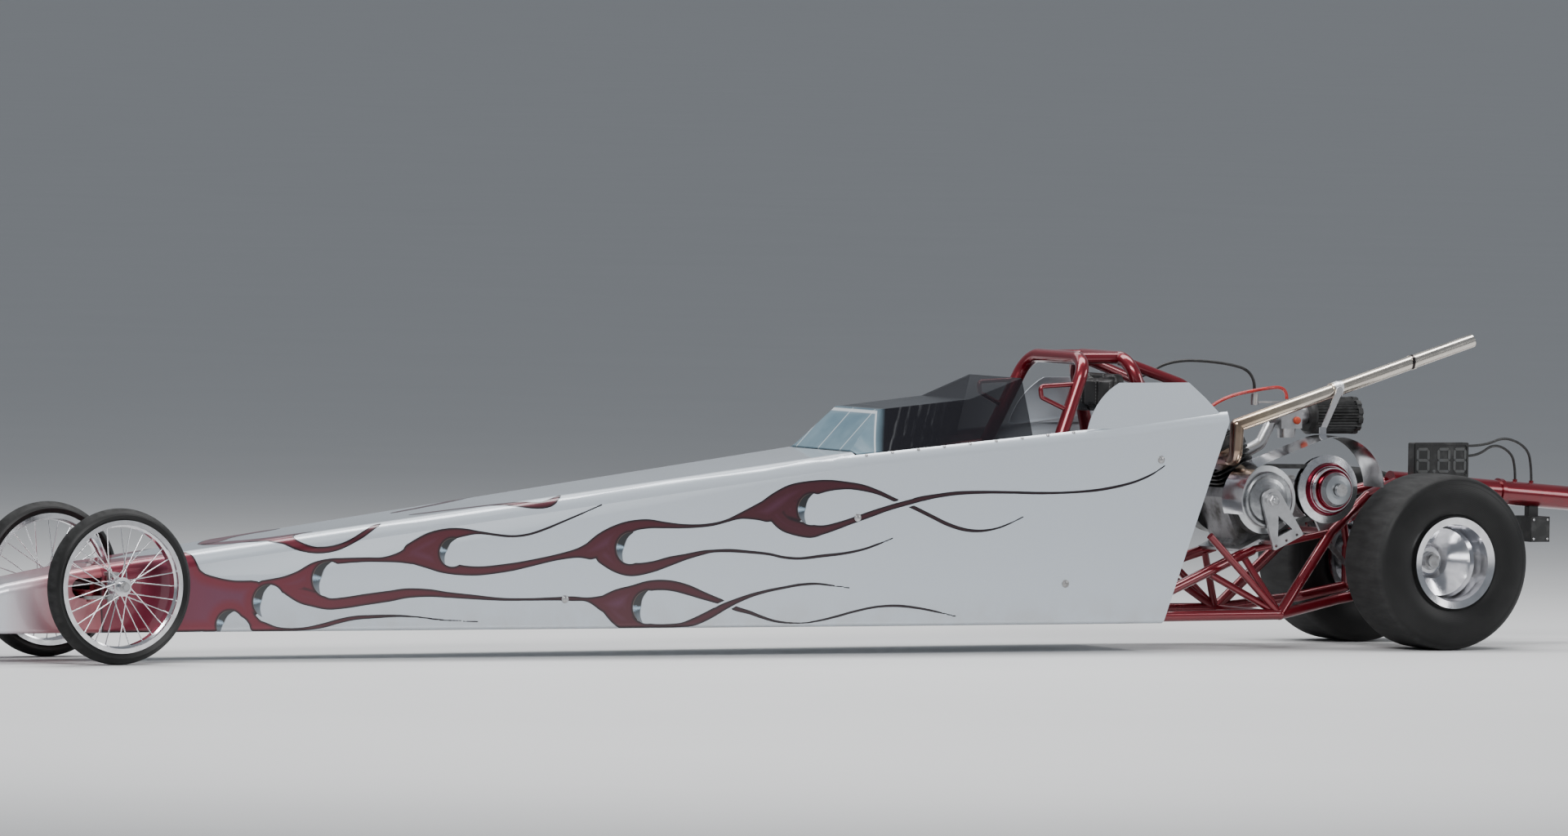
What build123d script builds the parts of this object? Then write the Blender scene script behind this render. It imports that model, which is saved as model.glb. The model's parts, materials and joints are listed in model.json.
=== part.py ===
"""Half-scale rear-engined drag racing car for young drivers, in millimetres.

The nose points along -X, the driver's left is -Y, and the ground is Z = 0.
Stations are measured rearward from the front axle.
"""

import os
from math import asin, atan2, ceil, cos, degrees, pi, radians, sin

from build123d import *

os.makedirs("parts", exist_ok=True)

# Driving dimensions of the whole car
wheelbase = 3810.0
nose_overhang = 460.0
tail_overhang = 800.0
front_track = 405.0
rear_track = 445.0

# Fits between pieces
seat_gap = 0.3
running_clearance = 0.05

# Front wheels and tyres
front_tyre_radius = 195.0
front_tyre_width = 57.0
front_rim_radius = 166.0
front_rim_width = 50.0
front_rim_well = 152.0
front_hub_radius = 24.0
front_hub_length = 56.0
spoke_radius = 1.5
spokes_per_flange = 14
spindle_radius = 8.0

# Rear wheels and tyres
slick_radius = 228.0
slick_width = 206.0
slick_shoulder = 34.0
rear_rim_radius = 121.0
rear_rim_width = 200.0
rear_bead_radius = 102.0
dish_depth = 61.0
hub_depth = 139.0
rear_axle_radius = 16.0

# Front axle and steering
axle_beam_radius = 12.7
kingpin_offset = 150.0
kingpin_radius = 6.0
kingpin_boss_radius = 13.0
kingpin_boss_length = 50.0
tie_rod_ahead = 58.0
tie_rod_radius = 7.0
steering_wheel_radius = 95.0
steering_grip_radius = 11.0
steering_station = wheelbase - 1420.0
steering_height = 522.0
steering_rake = 25.0
column_length = 190.0

# Body
body_bottom = 74.0
body_wall = 3.0
shoulder_radius = 36.0
sill_radius = 11.0
seam_inset = 42.0
cockpit_lip = 14.0
screen_station = wheelbase - 1712.0
sill_station = wheelbase - 1020.0
body_end_bottom = wheelbase - 812.0
body_end_top = wheelbase - 624.0
body_end_height = 590.0
body_back_station = wheelbase - 570.0
shield_top = 694.0
shield_front = wheelbase - 942.0
shield_back = wheelbase - 736.0
shield_lean = 5.0
shield_bite = 5.0

# Chassis tubes
rail_radius = 14.0
brace_radius = 9.5
cage_radius = 17.5
cage_bar_radius = 15.0
loop_radius = 6.0
rail_inset = 24.0
node_station = wheelbase - 435.0
node_half_width = 165.0
cage_front_station = wheelbase - 1120.0
cage_top_station = wheelbase - 1015.0
cage_rear_station = wheelbase - 895.0
cage_top = 754.0
cage_half_top = 150.0
cage_bend_radius = 62.0
boom_radius = 31.5
boom_front_station = wheelbase - 10.0
boom_front_height = 423.0
boom_drop = 0.08

# Engine, with the crankshaft across the car
crank_station = wheelbase - 475.0
crank_height = 388.0
engine_lean = 25.0
crankcase_half_width = 70.0
crankcase_front = -86.0
crankcase_back = 84.0
crankcase_base = -98.0
crankcase_top = 58.0
crank_radius = 12.0
barrel_radius = 43.0
fin_count = 7
fin_pitch = 11.5
fin_thickness = 4.0
fin_half_length = 60.0
fin_half_width = 64.0
head_height = 34.0

# Belt drive on the left of the engine
drive_clutch_radius = 70.0
driven_clutch_radius = 89.0
driven_station = wheelbase - 289.0
driven_height = 414.0
guard_front_radius = 100.0
guard_rear_radius = 137.0
guard_width = 100.0
guard_wall = 2.5
support_plate_y = -188.0
support_plate_wall = 8.0

# Chain drive and brake
chain_y = 40.0
brake_y = -45.0
brake_disc_radius = 88.0
carrier_y = 88.0
carrier_wall = 12.0

# Wheelie bar
tail_wheel_radius = 44.0
tail_wheel_width = 26.0
tail_wheel_y = 62.0
tail_wheel_lift = 26.0

overall_length = nose_overhang + wheelbase + tail_overhang
front_axle_x = nose_overhang - overall_length / 2
front_axle_z = front_tyre_radius
rear_axle_z = slick_radius


def station(distance):
    """X of a point this far behind the front axle."""
    return front_axle_x + distance


rear_axle_x = station(wheelbase)
rail_height = body_bottom + body_wall + rail_radius + seat_gap


# Body sections: station, half width, top height
body_sections = [
    (0.0, 108.0, 244.0),
    (screen_station, 198.0, 518.0),
    (sill_station, 215.0, 583.0),
    (body_back_station, 215.0, 632.0),
]

# Nose sections: station, half width, bottom height, top height
nose_sections = [
    (0.0, 108.0, 74.0, 244.0),
    (-250.0, 94.0, 74.0, 199.0),
    (-415.0, 77.0, 76.0, 150.0),
    (-nose_overhang, 56.0, 90.0, 118.0),
]


def between(distance, column):
    """A column of the body sections, read at any station by straight lines."""
    for ahead, behind in zip(body_sections, body_sections[1:]):
        if distance <= behind[0]:
            share = (distance - ahead[0]) / (behind[0] - ahead[0])
            return ahead[column] + share * (behind[column] - ahead[column])
    return body_sections[-1][column]


def half_width(distance):
    """Half the body's width at a station."""
    return between(distance, 1)


def top_height(distance):
    """Height of the body's top at a station."""
    return between(distance, 2)


def cross_plane(distance):
    """Plane across the car: local x is +Y, local y is +Z."""
    return Plane(origin=(station(distance), 0, 0), x_dir=(0, 1, 0), z_dir=(1, 0, 0))


def side_plane(y):
    """Plane along the car: local x is +X, local y is +Z, and it faces -Y."""
    return Plane(origin=(0, y, 0), x_dir=(1, 0, 0), z_dir=(0, -1, 0))


def wheel_plane(x, y, z, side):
    """Section plane of a wheel: local x points outboard, local y is the radius."""
    return Plane(origin=(x, y, z), x_dir=(0, side, 0), z_dir=(side, 0, 0))


def tube(start, end, radius, mode=Mode.ADD):
    """One straight round tube or hole in the part being built."""
    run = Vector(*end) - Vector(*start)
    with BuildSketch(Plane(origin=start, z_dir=run)) as section:
        Circle(radius)
    extrude(section.sketch, amount=run.length, mode=mode)


def bent_tube(points, bend_radius, radius, mode=Mode.ADD):
    """A round tube along straight runs joined by bends of one radius."""
    with BuildLine() as route:
        FilletPolyline(*points, radius=bend_radius)
    with BuildSketch(Plane(origin=points[0], z_dir=Vector(*points[1]) - Vector(*points[0]))) as section:
        Circle(radius)
    sweep(section.sketch, path=route.line, mode=mode)


def hose(route, radius):
    """A round hose on the smooth curve that its few points pull into shape."""
    with BuildLine() as path:
        start = Vector(*route[0])
        for index in range(1, len(route) - 1):
            bend, after = Vector(*route[index]), Vector(*route[index + 1])
            end = after if index == len(route) - 2 else (bend + after) / 2
            Bezier(start, bend, end)
            start = end
    with BuildSketch(Plane(origin=route[0], z_dir=path.line % 0)) as section:
        Circle(radius)
    sweep(section.sketch, path=path.line)


def zigzag(centre, outer, inner, points):
    """Corners of a closed zigzag round a centre, for pleats and teeth."""
    ring = []
    for index in range(2 * points):
        radius = outer if index % 2 else inner
        turn = pi * index / points
        ring.append((centre[0] + radius * cos(turn), centre[1] + radius * sin(turn)))
    return ring


def box_section(distance, half, bottom, top, upper_radius, lower_radius):
    """Rounded cross section of the body."""
    with BuildSketch(cross_plane(distance)) as section:
        with Locations((0, (bottom + top) / 2)):
            Rectangle(2 * half, top - bottom)
        fillet(section.vertices().group_by(Axis.Y)[-1], upper_radius)
        fillet(section.vertices().group_by(Axis.Y)[0], lower_radius)
    return section.sketch.face()


# Nose cone: a tapered shell whose back edge is slotted for the axle and the tie rod
nose_slot_front = -tie_rod_ahead - tie_rod_radius - 16.0
with BuildPart() as nose_cone:
    outer = []
    inner = []
    for distance, half, bottom, top in nose_sections:
        tip = distance == -nose_overhang
        upper = 12.0 if tip else shoulder_radius * (top - bottom) / 180.0
        outer.append(box_section(distance, half, bottom, top, upper, sill_radius))
        if not tip:
            inner.append(box_section(
                distance, half - body_wall, bottom + body_wall, top - body_wall,
                upper - body_wall, sill_radius - body_wall))
    loft(outer, ruled=True)
    loft(inner, ruled=True, mode=Mode.SUBTRACT)
    with BuildSketch(side_plane(-300)) as axle_slot:
        with Locations((station(nose_slot_front / 2 + 20), front_axle_z - 8)):
            SlotOverall(40 - nose_slot_front, 2 * axle_beam_radius + 24)
    extrude(axle_slot.sketch, amount=-600, mode=Mode.SUBTRACT)
nose_cone.part.label = "nose_cone"
export_step(nose_cone.part, "parts/nose_cone.step")

# Body shell, before it is split into its panels
with BuildPart() as body_shell:
    outer = []
    inner = []
    for distance, half, top in body_sections:
        outer.append(box_section(distance, half, body_bottom, top, shoulder_radius, sill_radius))
        inner.append(box_section(
            distance, half - body_wall, body_bottom + body_wall, top - body_wall,
            shoulder_radius - body_wall, sill_radius - body_wall))
    loft(outer, ruled=True)
    loft(inner, ruled=True, mode=Mode.SUBTRACT)
    with BuildSketch(side_plane(-300)) as axle_slot:
        with Locations((station(0), front_axle_z - 8)):
            SlotOverall(80, 2 * axle_beam_radius + 24)
    extrude(axle_slot.sketch, amount=-600, mode=Mode.SUBTRACT)

# Side outline that trims the body behind the engine bay
with BuildSketch(side_plane(-400)) as side_trim:
    with BuildLine():
        Polyline(
            (station(-10), 0),
            (station(body_end_bottom), 0),
            (station(body_end_bottom), body_bottom),
            (station(body_end_top), body_end_height),
            (station(body_end_top), 900),
            (station(-10), 900),
            close=True,
        )
    make_face()


def panel_region(side, inset):
    """Plan region outboard of the panel seam on one side."""
    with BuildSketch(Plane.XY) as region:
        with BuildLine():
            seam = [(station(d), side * (half - inset)) for d, half, top in body_sections]
            Polyline(*seam, (seam[-1][0], side * 400), (seam[0][0], side * 400), close=True)
        make_face()
    return region.sketch


# Plan of the open cockpit, between the lips of the two shoulders
with BuildSketch(Plane.XY.offset(300)) as cockpit_opening:
    with BuildLine():
        cockpit_ends = [(d, half) for d, half, top in body_sections if d >= screen_station]
        Polyline(
            *[(station(d), half - cockpit_lip) for d, half in cockpit_ends],
            *[(station(d), cockpit_lip - half) for d, half in reversed(cockpit_ends)],
            close=True,
        )
    make_face()

# Body sides: each flank with its rolled shoulder, and the headrest shield above it
for side, name in ((-1, "body_left"), (1, "body_right")):
    with BuildPart() as flank:
        add(body_shell.part)
        extrude(panel_region(side, seam_inset), amount=900, mode=Mode.INTERSECT)
        extrude(cockpit_opening.sketch, amount=600, mode=Mode.SUBTRACT)
        shield_foot = half_width(sill_station) - cockpit_lip + shield_bite
        base_height = top_height(sill_station) - 30.0
        shield_base = Plane(
            origin=(0, side * shield_foot, base_height),
            x_dir=(1, 0, 0),
            z_dir=(0, -cos(radians(shield_lean)), -sin(radians(shield_lean)) * side),
        )
        with BuildSketch(shield_base) as shield:
            with BuildLine():
                foot = Polyline(
                    (station(shield_front), shield_top - base_height),
                    (station(shield_back), shield_top - base_height),
                    (station(shield_back + 47), 655.0 - base_height),
                    (station(body_end_top), 592.0 - base_height),
                    (station(body_end_top), 25.0),
                    (station(sill_station - 20), 22.0),
                )
                RadiusArc(foot @ 1, foot @ 0, 190.0)
            make_face()
        extrude(shield.sketch, amount=-side * body_wall)
        extrude(side_trim.sketch, amount=-800, mode=Mode.INTERSECT)
    flank.part.label = name
    export_step(flank.part, f"parts/{name}.step")

# Front cowl: the top panel between the shoulders, from the nose to the windscreen
with BuildPart() as front_cowl:
    add(body_shell.part)
    with BuildSketch(Plane.XY.offset(150)) as cowl_region:
        with BuildLine():
            ends = [(0.0, half_width(0.0)), (screen_station, half_width(screen_station))]
            Polyline(
                *[(station(d), half - seam_inset) for d, half in ends],
                *[(station(d), seam_inset - half) for d, half in reversed(ends)],
                close=True,
            )
        make_face()
    extrude(cowl_region.sketch, amount=900, mode=Mode.INTERSECT)
front_cowl.part.label = "front_cowl"
export_step(front_cowl.part, "parts/front_cowl.step")

# Belly pan: the bottom panel between the rolled sills
with BuildPart() as belly_pan:
    add(body_shell.part)
    with BuildSketch(Plane.XY.offset(40)) as belly_region:
        with BuildLine():
            Polyline(
                *[(station(d), half - seam_inset) for d, half, top in body_sections],
                *[(station(d), seam_inset - half) for d, half, top in reversed(body_sections)],
                close=True,
            )
        make_face()
    extrude(belly_region.sketch, amount=60, mode=Mode.INTERSECT)
    extrude(side_trim.sketch, amount=-800, mode=Mode.INTERSECT)
belly_pan.part.label = "belly_pan"
export_step(belly_pan.part, "parts/belly_pan.step")

# Windscreen sections: station, half width at top, top height
screen_sections = [
    (screen_station + 6.0, 150.0, 522.0),
    (screen_station + 107.0, 112.0, 624.0),
    (screen_station + 368.0, 126.0, 650.0),
    (screen_station + 514.0, 136.0, 704.0),
]
screen_wall = 3.0
screen_tuck = 20.0
screen_flange = 16.0


def screen_section(distance, half, top, inset):
    """Trapezium section of the windscreen, tucked inside the cockpit's lips."""
    foot = half_width(distance) - cockpit_lip - seat_gap
    base = top_height(distance) - screen_tuck
    with BuildSketch(cross_plane(distance)) as section:
        with BuildLine():
            Polyline(
                (-foot + inset, base - 10 * inset),
                (foot - inset, base - 10 * inset),
                (foot - inset, base + screen_flange - inset / 2),
                (half - inset, top - inset),
                (-half + inset, top - inset),
                (-foot + inset, base + screen_flange - inset / 2),
                close=True,
            )
        make_face()
    return section.sketch.face()


with BuildPart() as windscreen:
    loft([screen_section(*row, 0.0) for row in screen_sections], ruled=True)
    loft([screen_section(*row, screen_wall) for row in screen_sections], ruled=True, mode=Mode.SUBTRACT)
windscreen.part.label = "windscreen"
export_step(windscreen.part, "parts/windscreen.step")


def rail_y(distance):
    """Centre of a chassis rail, just inside the body's flank."""
    if distance <= body_end_bottom:
        return half_width(distance) - rail_inset
    share = (distance - body_end_bottom) / (node_station - body_end_bottom)
    start = half_width(body_end_bottom) - rail_inset
    return start + share * (node_half_width - start)


def upper_rail_z(distance):
    """Centre of the upper chassis rail, under the body's shoulder."""
    return top_height(distance) - shoulder_radius - rail_radius


def mirrored(points, side):
    """The points of one side's tube: stations become X, and Y takes the side's sign."""
    return [(station(d), side * y, z) for d, y, z in points]


# Frame sides: rails, uprights and diagonals of one side, with the plate that holds the front axle
frame_start = 30.0
nose_bays = 5
bay_length = (screen_station + 40.0 - frame_start) / nose_bays
leg_station_middle = (screen_station + 40.0 + cage_front_station) / 2
upright_stations = [frame_start + index * bay_length for index in range(nose_bays + 1)]
upright_stations += [leg_station_middle, cage_front_station]
hoop_foot = body_end_bottom - 30.0
axle_plate_y = rail_y(frame_start)
axle_plate_wall = 8.0
frame_sides = []
for side, name in ((-1, "frame_left"), (1, "frame_right")):
    with BuildPart() as frame_side:
        lower_stations = [frame_start, screen_station, sill_station, body_end_bottom, node_station]
        lower = mirrored([(d, rail_y(d), rail_height) for d in lower_stations], side)
        upper_stations = [frame_start, screen_station, cage_front_station]
        upper = mirrored([(d, rail_y(d), upper_rail_z(d)) for d in upper_stations], side)
        for rail in (lower, upper):
            for start, end in zip(rail, rail[1:]):
                tube(start, end, rail_radius)
        for corner in lower[:-1] + upper:
            with Locations(corner):
                Sphere(rail_radius)
        for d in upright_stations:
            ends = [(d, rail_y(d), rail_height), (d, rail_y(d), upper_rail_z(d))]
            tube(*mirrored(ends, side), brace_radius)
        for d, next_d in zip(upright_stations, upright_stations[1:]):
            ends = [(d, rail_y(d), upper_rail_z(d)), (next_d, rail_y(next_d), rail_height)]
            tube(*mirrored(ends, side), brace_radius)
        with BuildSketch(side_plane(side * axle_plate_y + axle_plate_wall / 2)) as axle_plate:
            with Locations((station(8), front_axle_z)):
                RectangleRounded(62, 56, 10)
        extrude(axle_plate.sketch, amount=axle_plate_wall)
        axle_seat = [(station(0), y, front_axle_z) for y in (-kingpin_offset, kingpin_offset)]
        tube(*axle_seat, axle_beam_radius + running_clearance, mode=Mode.SUBTRACT)
    frame_side.part.label = name
    export_step(frame_side.part, f"parts/{name}.step")
    frame_sides.append(frame_side.part)

# Cross tubes between the two sides, coped to the rails
seat_bars = [sill_station - 150.0, sill_station - 60.0]
nose_stations = upright_stations[:nose_bays + 1]
cross_tubes = [(d, rail_y(d), upper_rail_z(d)) for d in nose_stations]
cross_tubes += [(d, rail_y(d), rail_height) for d in nose_stations + [leg_station_middle] + seat_bars + [hoop_foot]]
with BuildPart() as frame_crossbars:
    for d, half, height in cross_tubes:
        tube((station(d), -half, height), (station(d), half, height), brace_radius)
    add(frame_sides, mode=Mode.SUBTRACT)
frame_crossbars.part.label = "frame_crossbars"
export_step(frame_crossbars.part, "parts/frame_crossbars.step")

# Rear frame: the engine's cradle, the struts to the boom and the posts that hold the rear axle
cradle_end = wheelbase - 480.0
cradle_height = 256.0
engine_rail_y = 96.0
rear_frame_y = 92.0
knee_station = wheelbase - 240.0
knee_height = 300.0
boom_root = (wheelbase - 120.0, 70.0, 392.0)
low_knee_station = wheelbase - 220.0
low_knee_height = 125.0
axle_post_station = wheelbase - 80.0
post_bottom = 150.0
post_top = 250.0
node_swell = 1.0
node = (node_station, node_half_width, rail_height)
knee = (knee_station, rear_frame_y, knee_height)
low_knee = (low_knee_station, rear_frame_y, low_knee_height)
post_foot = (axle_post_station, rear_frame_y, post_bottom)
post_head = (axle_post_station, rear_frame_y, post_top)
cradle_back = (cradle_end, engine_rail_y, cradle_height)
# Tubes of one side: radius, then station, half width and height of each end
side_tubes = [
    (rail_radius, (hoop_foot, rail_y(hoop_foot), rail_height + 40), cradle_back),
    (brace_radius, (cradle_end - 30, engine_rail_y, cradle_height - 12), node),
    (brace_radius, (cradle_end - 140, engine_rail_y + 30, cradle_height - 62), node),
    (brace_radius, (body_end_top - 32, 180, 297), node),
    (rail_radius, node, knee),
    (rail_radius, knee, boom_root),
    (rail_radius, boom_root, (boom_front_station, 24, boom_front_height)),
    (brace_radius, knee, cradle_back),
    (rail_radius, node, low_knee),
    (rail_radius, low_knee, post_foot),
    (rail_radius, post_foot, post_head),
    (brace_radius, post_head, boom_root),
]
with BuildPart() as rear_frame:
    for side in (-1, 1):
        for radius, start, end in side_tubes:
            tube(*mirrored([start, end], side), radius)
        with Locations(*mirrored([node], side)):
            Sphere(rail_radius + node_swell)
        for corner in (knee, boom_root, low_knee, post_foot, post_head):
            with Locations(*mirrored([corner], side)):
                Sphere(rail_radius)
    for d, half, height in (node, knee, post_foot):
        tube((station(d), -half, height), (station(d), half, height), brace_radius)
    add(frame_sides, mode=Mode.SUBTRACT)
rear_frame.part.label = "rear_frame"
export_step(rear_frame.part, "parts/rear_frame.step")

# Roll cage: front and rear hoops, top bars, rear braces, head-rest bar and the small side loops
head_bar_station = cage_rear_station + 35.0
head_bar_height = 672.0
hoop_inset = 3.0
front_hoop = [
    (cage_front_station, rail_y(cage_front_station) - hoop_inset, upper_rail_z(cage_front_station)),
    (cage_top_station, cage_half_top, cage_top),
]
rear_hoop = [
    (hoop_foot, rail_y(hoop_foot), rail_height),
    (cage_rear_station + 70, 172.0, 560.0),
    (cage_rear_station + 10, cage_half_top - 4, cage_top),
]
rear_brace = [
    (cage_rear_station + 10, 96.0, cage_top - 6),
    (body_end_top - 44, 120.0, 672.0),
    (body_end_top - 124, 150.0, 380.0),
    (hoop_foot + 40, rail_y(hoop_foot) - 30, rail_height + 40),
]
loop_front = 112.0
peg_share = 0.7
peg_foot = tuple(a + peg_share * (b - a) for a, b in zip(rear_brace[0], rear_brace[1]))
vent_peg = (peg_foot[0], 94.0, peg_foot[2])
with BuildPart() as roll_cage:
    for hoop in (front_hoop, rear_hoop):
        near = mirrored(hoop, -1)
        far = mirrored(hoop, 1)
        bent_tube(near + far[::-1], cage_bend_radius, cage_radius)
    for side in (-1, 1):
        bars = [(cage_top_station, 96.0, cage_top), (cage_rear_station + 10, 96.0, cage_top)]
        tube(*mirrored(bars, side), cage_bar_radius)
        head_bar = [(head_bar_station, 0.0, head_bar_height), (head_bar_station, 157.0, head_bar_height)]
        tube(*mirrored(head_bar, side), rail_radius)
        bent_tube(mirrored(rear_brace[:3], side), 60.0, rail_radius)
        share = 0.72
        loop_top = [a + share * (b - a) for a, b in zip(front_hoop[0], front_hoop[1])]
        loop_low = [a + (share - 0.3) * (b - a) for a, b in zip(front_hoop[0], front_hoop[1])]
        loop = [
            loop_top,
            (loop_top[0] - loop_front, loop_top[1], loop_top[2] - 6),
            (loop_top[0] - loop_front + 4, loop_top[1], loop_top[2] - 34),
            loop_low,
        ]
        bent_tube(mirrored(loop, side), 10.0, loop_radius)
    tube(*mirrored([vent_peg, peg_foot], 1), loop_radius)
    add(frame_sides + [frame_crossbars.part, rear_frame.part], mode=Mode.SUBTRACT)
roll_cage.part.label = "roll_cage"
export_step(roll_cage.part, "parts/roll_cage.step")

# Firewall behind the driver, parallel to the body's slanted rear edge
firewall_wall = 3.0
firewall_ahead = 60.0
rear_edge_lean = degrees(atan2(body_end_top - body_end_bottom, body_end_height - body_bottom))
firewall_plane = Plane(
    origin=(station(body_end_bottom - firewall_ahead), 0, body_bottom),
    x_dir=(0, 1, 0),
    z_dir=(cos(radians(rear_edge_lean)), 0, -sin(radians(rear_edge_lean))),
)
firewall_half = rail_y(sill_station) - cage_radius - 10.0
hose_fitting_radius = 6.0
hose_fitting_length = 12.0
fuel_fitting_at = (20.0, 455.0)
with BuildPart() as firewall:
    with BuildSketch(firewall_plane) as firewall_outline:
        with Locations((0, 290)):
            RectangleRounded(2 * (firewall_half - 20), 430, 30)
    extrude(firewall_outline.sketch, amount=firewall_wall)
    add(roll_cage.part, mode=Mode.SUBTRACT)
    with BuildSketch(firewall_plane) as fuel_fitting:
        with Locations(fuel_fitting_at):
            Circle(hose_fitting_radius)
    extrude(fuel_fitting.sketch, amount=firewall_wall + hose_fitting_length)
firewall.part.label = "firewall"
export_step(firewall.part, "parts/firewall.step")

# Seat shell bent from one sheet, with its pad
seat_front = sill_station - 190.0
seat_hip = sill_station + 10.0
seat_back_station = sill_station + 135.0
seat_half = 140.0
seat_wall = 3.0
seat_pad_thickness = 24.0
seat_floor = rail_height + brace_radius + seat_gap + seat_wall / 2
seat_line = [(seat_front, seat_floor), (seat_hip, seat_floor), (seat_back_station, 520.0)]
with BuildPart() as seat:
    with BuildSketch(side_plane(seat_half)) as seat_section:
        with BuildLine():
            FilletPolyline(*[(station(d), z) for d, z in seat_line], radius=60)
        trace(line_width=seat_wall)
    extrude(seat_section.sketch, amount=2 * seat_half)
    for side in (-1, 1):
        with BuildSketch(side_plane(side * seat_half + (seat_wall if side > 0 else 0))) as bolster:
            with BuildLine():
                Polyline(
                    (station(seat_front), seat_floor + 1),
                    (station(seat_hip) - 6, seat_floor + 1),
                    (station(seat_back_station) - 12, 500.0),
                    (station(seat_back_station) - 90, 470.0),
                    (station(seat_hip) - 80, 205.0),
                    (station(seat_front), 160.0),
                    close=True,
                )
            make_face()
            fillet(bolster.vertices(), 12)
        extrude(bolster.sketch, amount=seat_wall)
seat.part.label = "seat"
export_step(seat.part, "parts/seat.step")

with BuildPart() as seat_pad:
    pad_lift = seat_wall / 2 + seat_gap + seat_pad_thickness / 2
    pad_line = [
        (seat_front + 12, seat_floor + pad_lift),
        (seat_hip - 10, seat_floor + pad_lift),
        (seat_back_station - 26, 490.0),
    ]
    with BuildSketch(side_plane(seat_half - 6)) as pad_section:
        with BuildLine():
            FilletPolyline(*[(station(d), z) for d, z in pad_line], radius=48)
        trace(line_width=seat_pad_thickness)
    extrude(pad_section.sketch, amount=2 * (seat_half - 6))
    add(seat.part, mode=Mode.SUBTRACT)
seat_pad.part.label = "seat_pad"
export_step(seat_pad.part, "parts/seat_pad.step")

# Head pad between the rear hoop's legs
head_pad_depth = 34.0
with BuildPart() as head_pad:
    with BuildSketch(cross_plane(head_bar_station - rail_radius - seat_gap - head_pad_depth)) as head_outline:
        with Locations((0, head_bar_height - 10)):
            RectangleRounded(2 * (cage_half_top - cage_radius - 18), 110, 28)
    extrude(head_outline.sketch, amount=head_pad_depth)
    fillet(head_pad.edges().group_by(Axis.X)[0], 12)
    add(roll_cage.part, mode=Mode.SUBTRACT)
head_pad.part.label = "head_pad"
export_step(head_pad.part, "parts/head_pad.step")

# Front axle beam with a kingpin boss at each end
with BuildPart() as front_axle:
    tube((station(0), -kingpin_offset, front_axle_z), (station(0), kingpin_offset, front_axle_z), axle_beam_radius)
    for side in (-1, 1):
        with Locations((station(0), side * kingpin_offset, front_axle_z)):
            Cylinder(kingpin_boss_radius, kingpin_boss_length)
    for side in (-1, 1):
        with Locations((station(0), side * kingpin_offset, front_axle_z)):
            Cylinder(kingpin_radius + running_clearance, kingpin_boss_length, mode=Mode.SUBTRACT)
front_axle.part.label = "front_axle"
export_step(front_axle.part, "parts/front_axle.step")

# Knuckles: a forked upright round the kingpin boss, the spindle and the steering arm
ear_radius = 15.0
ear_wall = 8.0
ear_gap = 0.5
arm_pin_radius = 5.0
arm_pin_play = 1.6
upright_y = kingpin_offset + kingpin_boss_radius + 1.5
upright_wall = 8.0
front_wheel_y = front_track / 2
arm_z = front_axle_z - kingpin_boss_length / 2 - ear_gap - ear_wall
for side, name in ((-1, "left"), (1, "right")):
    with BuildPart() as knuckle:
        for ear_z in (arm_z, front_axle_z + kingpin_boss_length / 2 + ear_gap):
            with BuildSketch(Plane.XY.offset(ear_z)) as ear:
                with Locations((station(0), side * kingpin_offset)):
                    Circle(ear_radius)
                with Locations((station(0), side * (kingpin_offset + upright_y + upright_wall) / 2)):
                    Rectangle(2 * ear_radius, upright_y + upright_wall - kingpin_offset)
            extrude(ear.sketch, amount=ear_wall)
        with BuildSketch(Plane.XY.offset(arm_z)) as arm:
            with BuildLine():
                Polyline(
                    (station(0), side * (kingpin_offset - 10)),
                    (station(0), side * (kingpin_offset + 10)),
                    (station(-tie_rod_ahead), side * (kingpin_offset + 10)),
                    (station(-tie_rod_ahead), side * (kingpin_offset - 10)),
                    close=True,
                )
            make_face()
            with Locations((station(-tie_rod_ahead), side * kingpin_offset)):
                Circle(12)
        extrude(arm.sketch, amount=ear_wall)
        upright_height = kingpin_boss_length + 2 * (ear_gap + ear_wall)
        with Locations((station(0), side * (upright_y + upright_wall / 2), front_axle_z)):
            Box(2 * ear_radius, upright_wall, upright_height)
        with Locations((station(0), side * kingpin_offset, front_axle_z)):
            Cylinder(kingpin_radius, upright_height + 16)
        spindle_end = front_wheel_y + front_hub_length / 2 + 14
        tube(
            (station(0), side * upright_y, front_axle_z),
            (station(0), side * spindle_end, front_axle_z),
            spindle_radius,
        )
        nut_start = front_wheel_y + front_hub_length / 2 + running_clearance
        tube(
            (station(0), side * nut_start, front_axle_z),
            (station(0), side * (nut_start + 8), front_axle_z),
            spindle_radius + 5,
        )
        with Locations((station(-tie_rod_ahead), side * kingpin_offset, arm_z + ear_wall / 2)):
            Cylinder(arm_pin_radius + arm_pin_play, ear_wall, mode=Mode.SUBTRACT)
    knuckle.part.label = f"knuckle_{name}"
    export_step(knuckle.part, f"parts/knuckle_{name}.step")

# Tie rod with an eye and a pin at each end
eye_radius = 11.0
eye_height = 15.0
tie_rod_z = arm_z + ear_wall + 0.5 + eye_height / 2
with BuildPart() as tie_rod:
    tube(
        (station(-tie_rod_ahead), -kingpin_offset, tie_rod_z),
        (station(-tie_rod_ahead), kingpin_offset, tie_rod_z),
        tie_rod_radius,
    )
    for side in (-1, 1):
        with Locations((station(-tie_rod_ahead), side * kingpin_offset, tie_rod_z)):
            Cylinder(eye_radius, eye_height)
        pin_z = (arm_z - 6 + tie_rod_z) / 2
        with Locations((station(-tie_rod_ahead), side * kingpin_offset, pin_z)):
            Cylinder(arm_pin_radius, tie_rod_z - arm_z + 6)
tie_rod.part.label = "tie_rod"
export_step(tie_rod.part, "parts/tie_rod.step")

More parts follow.
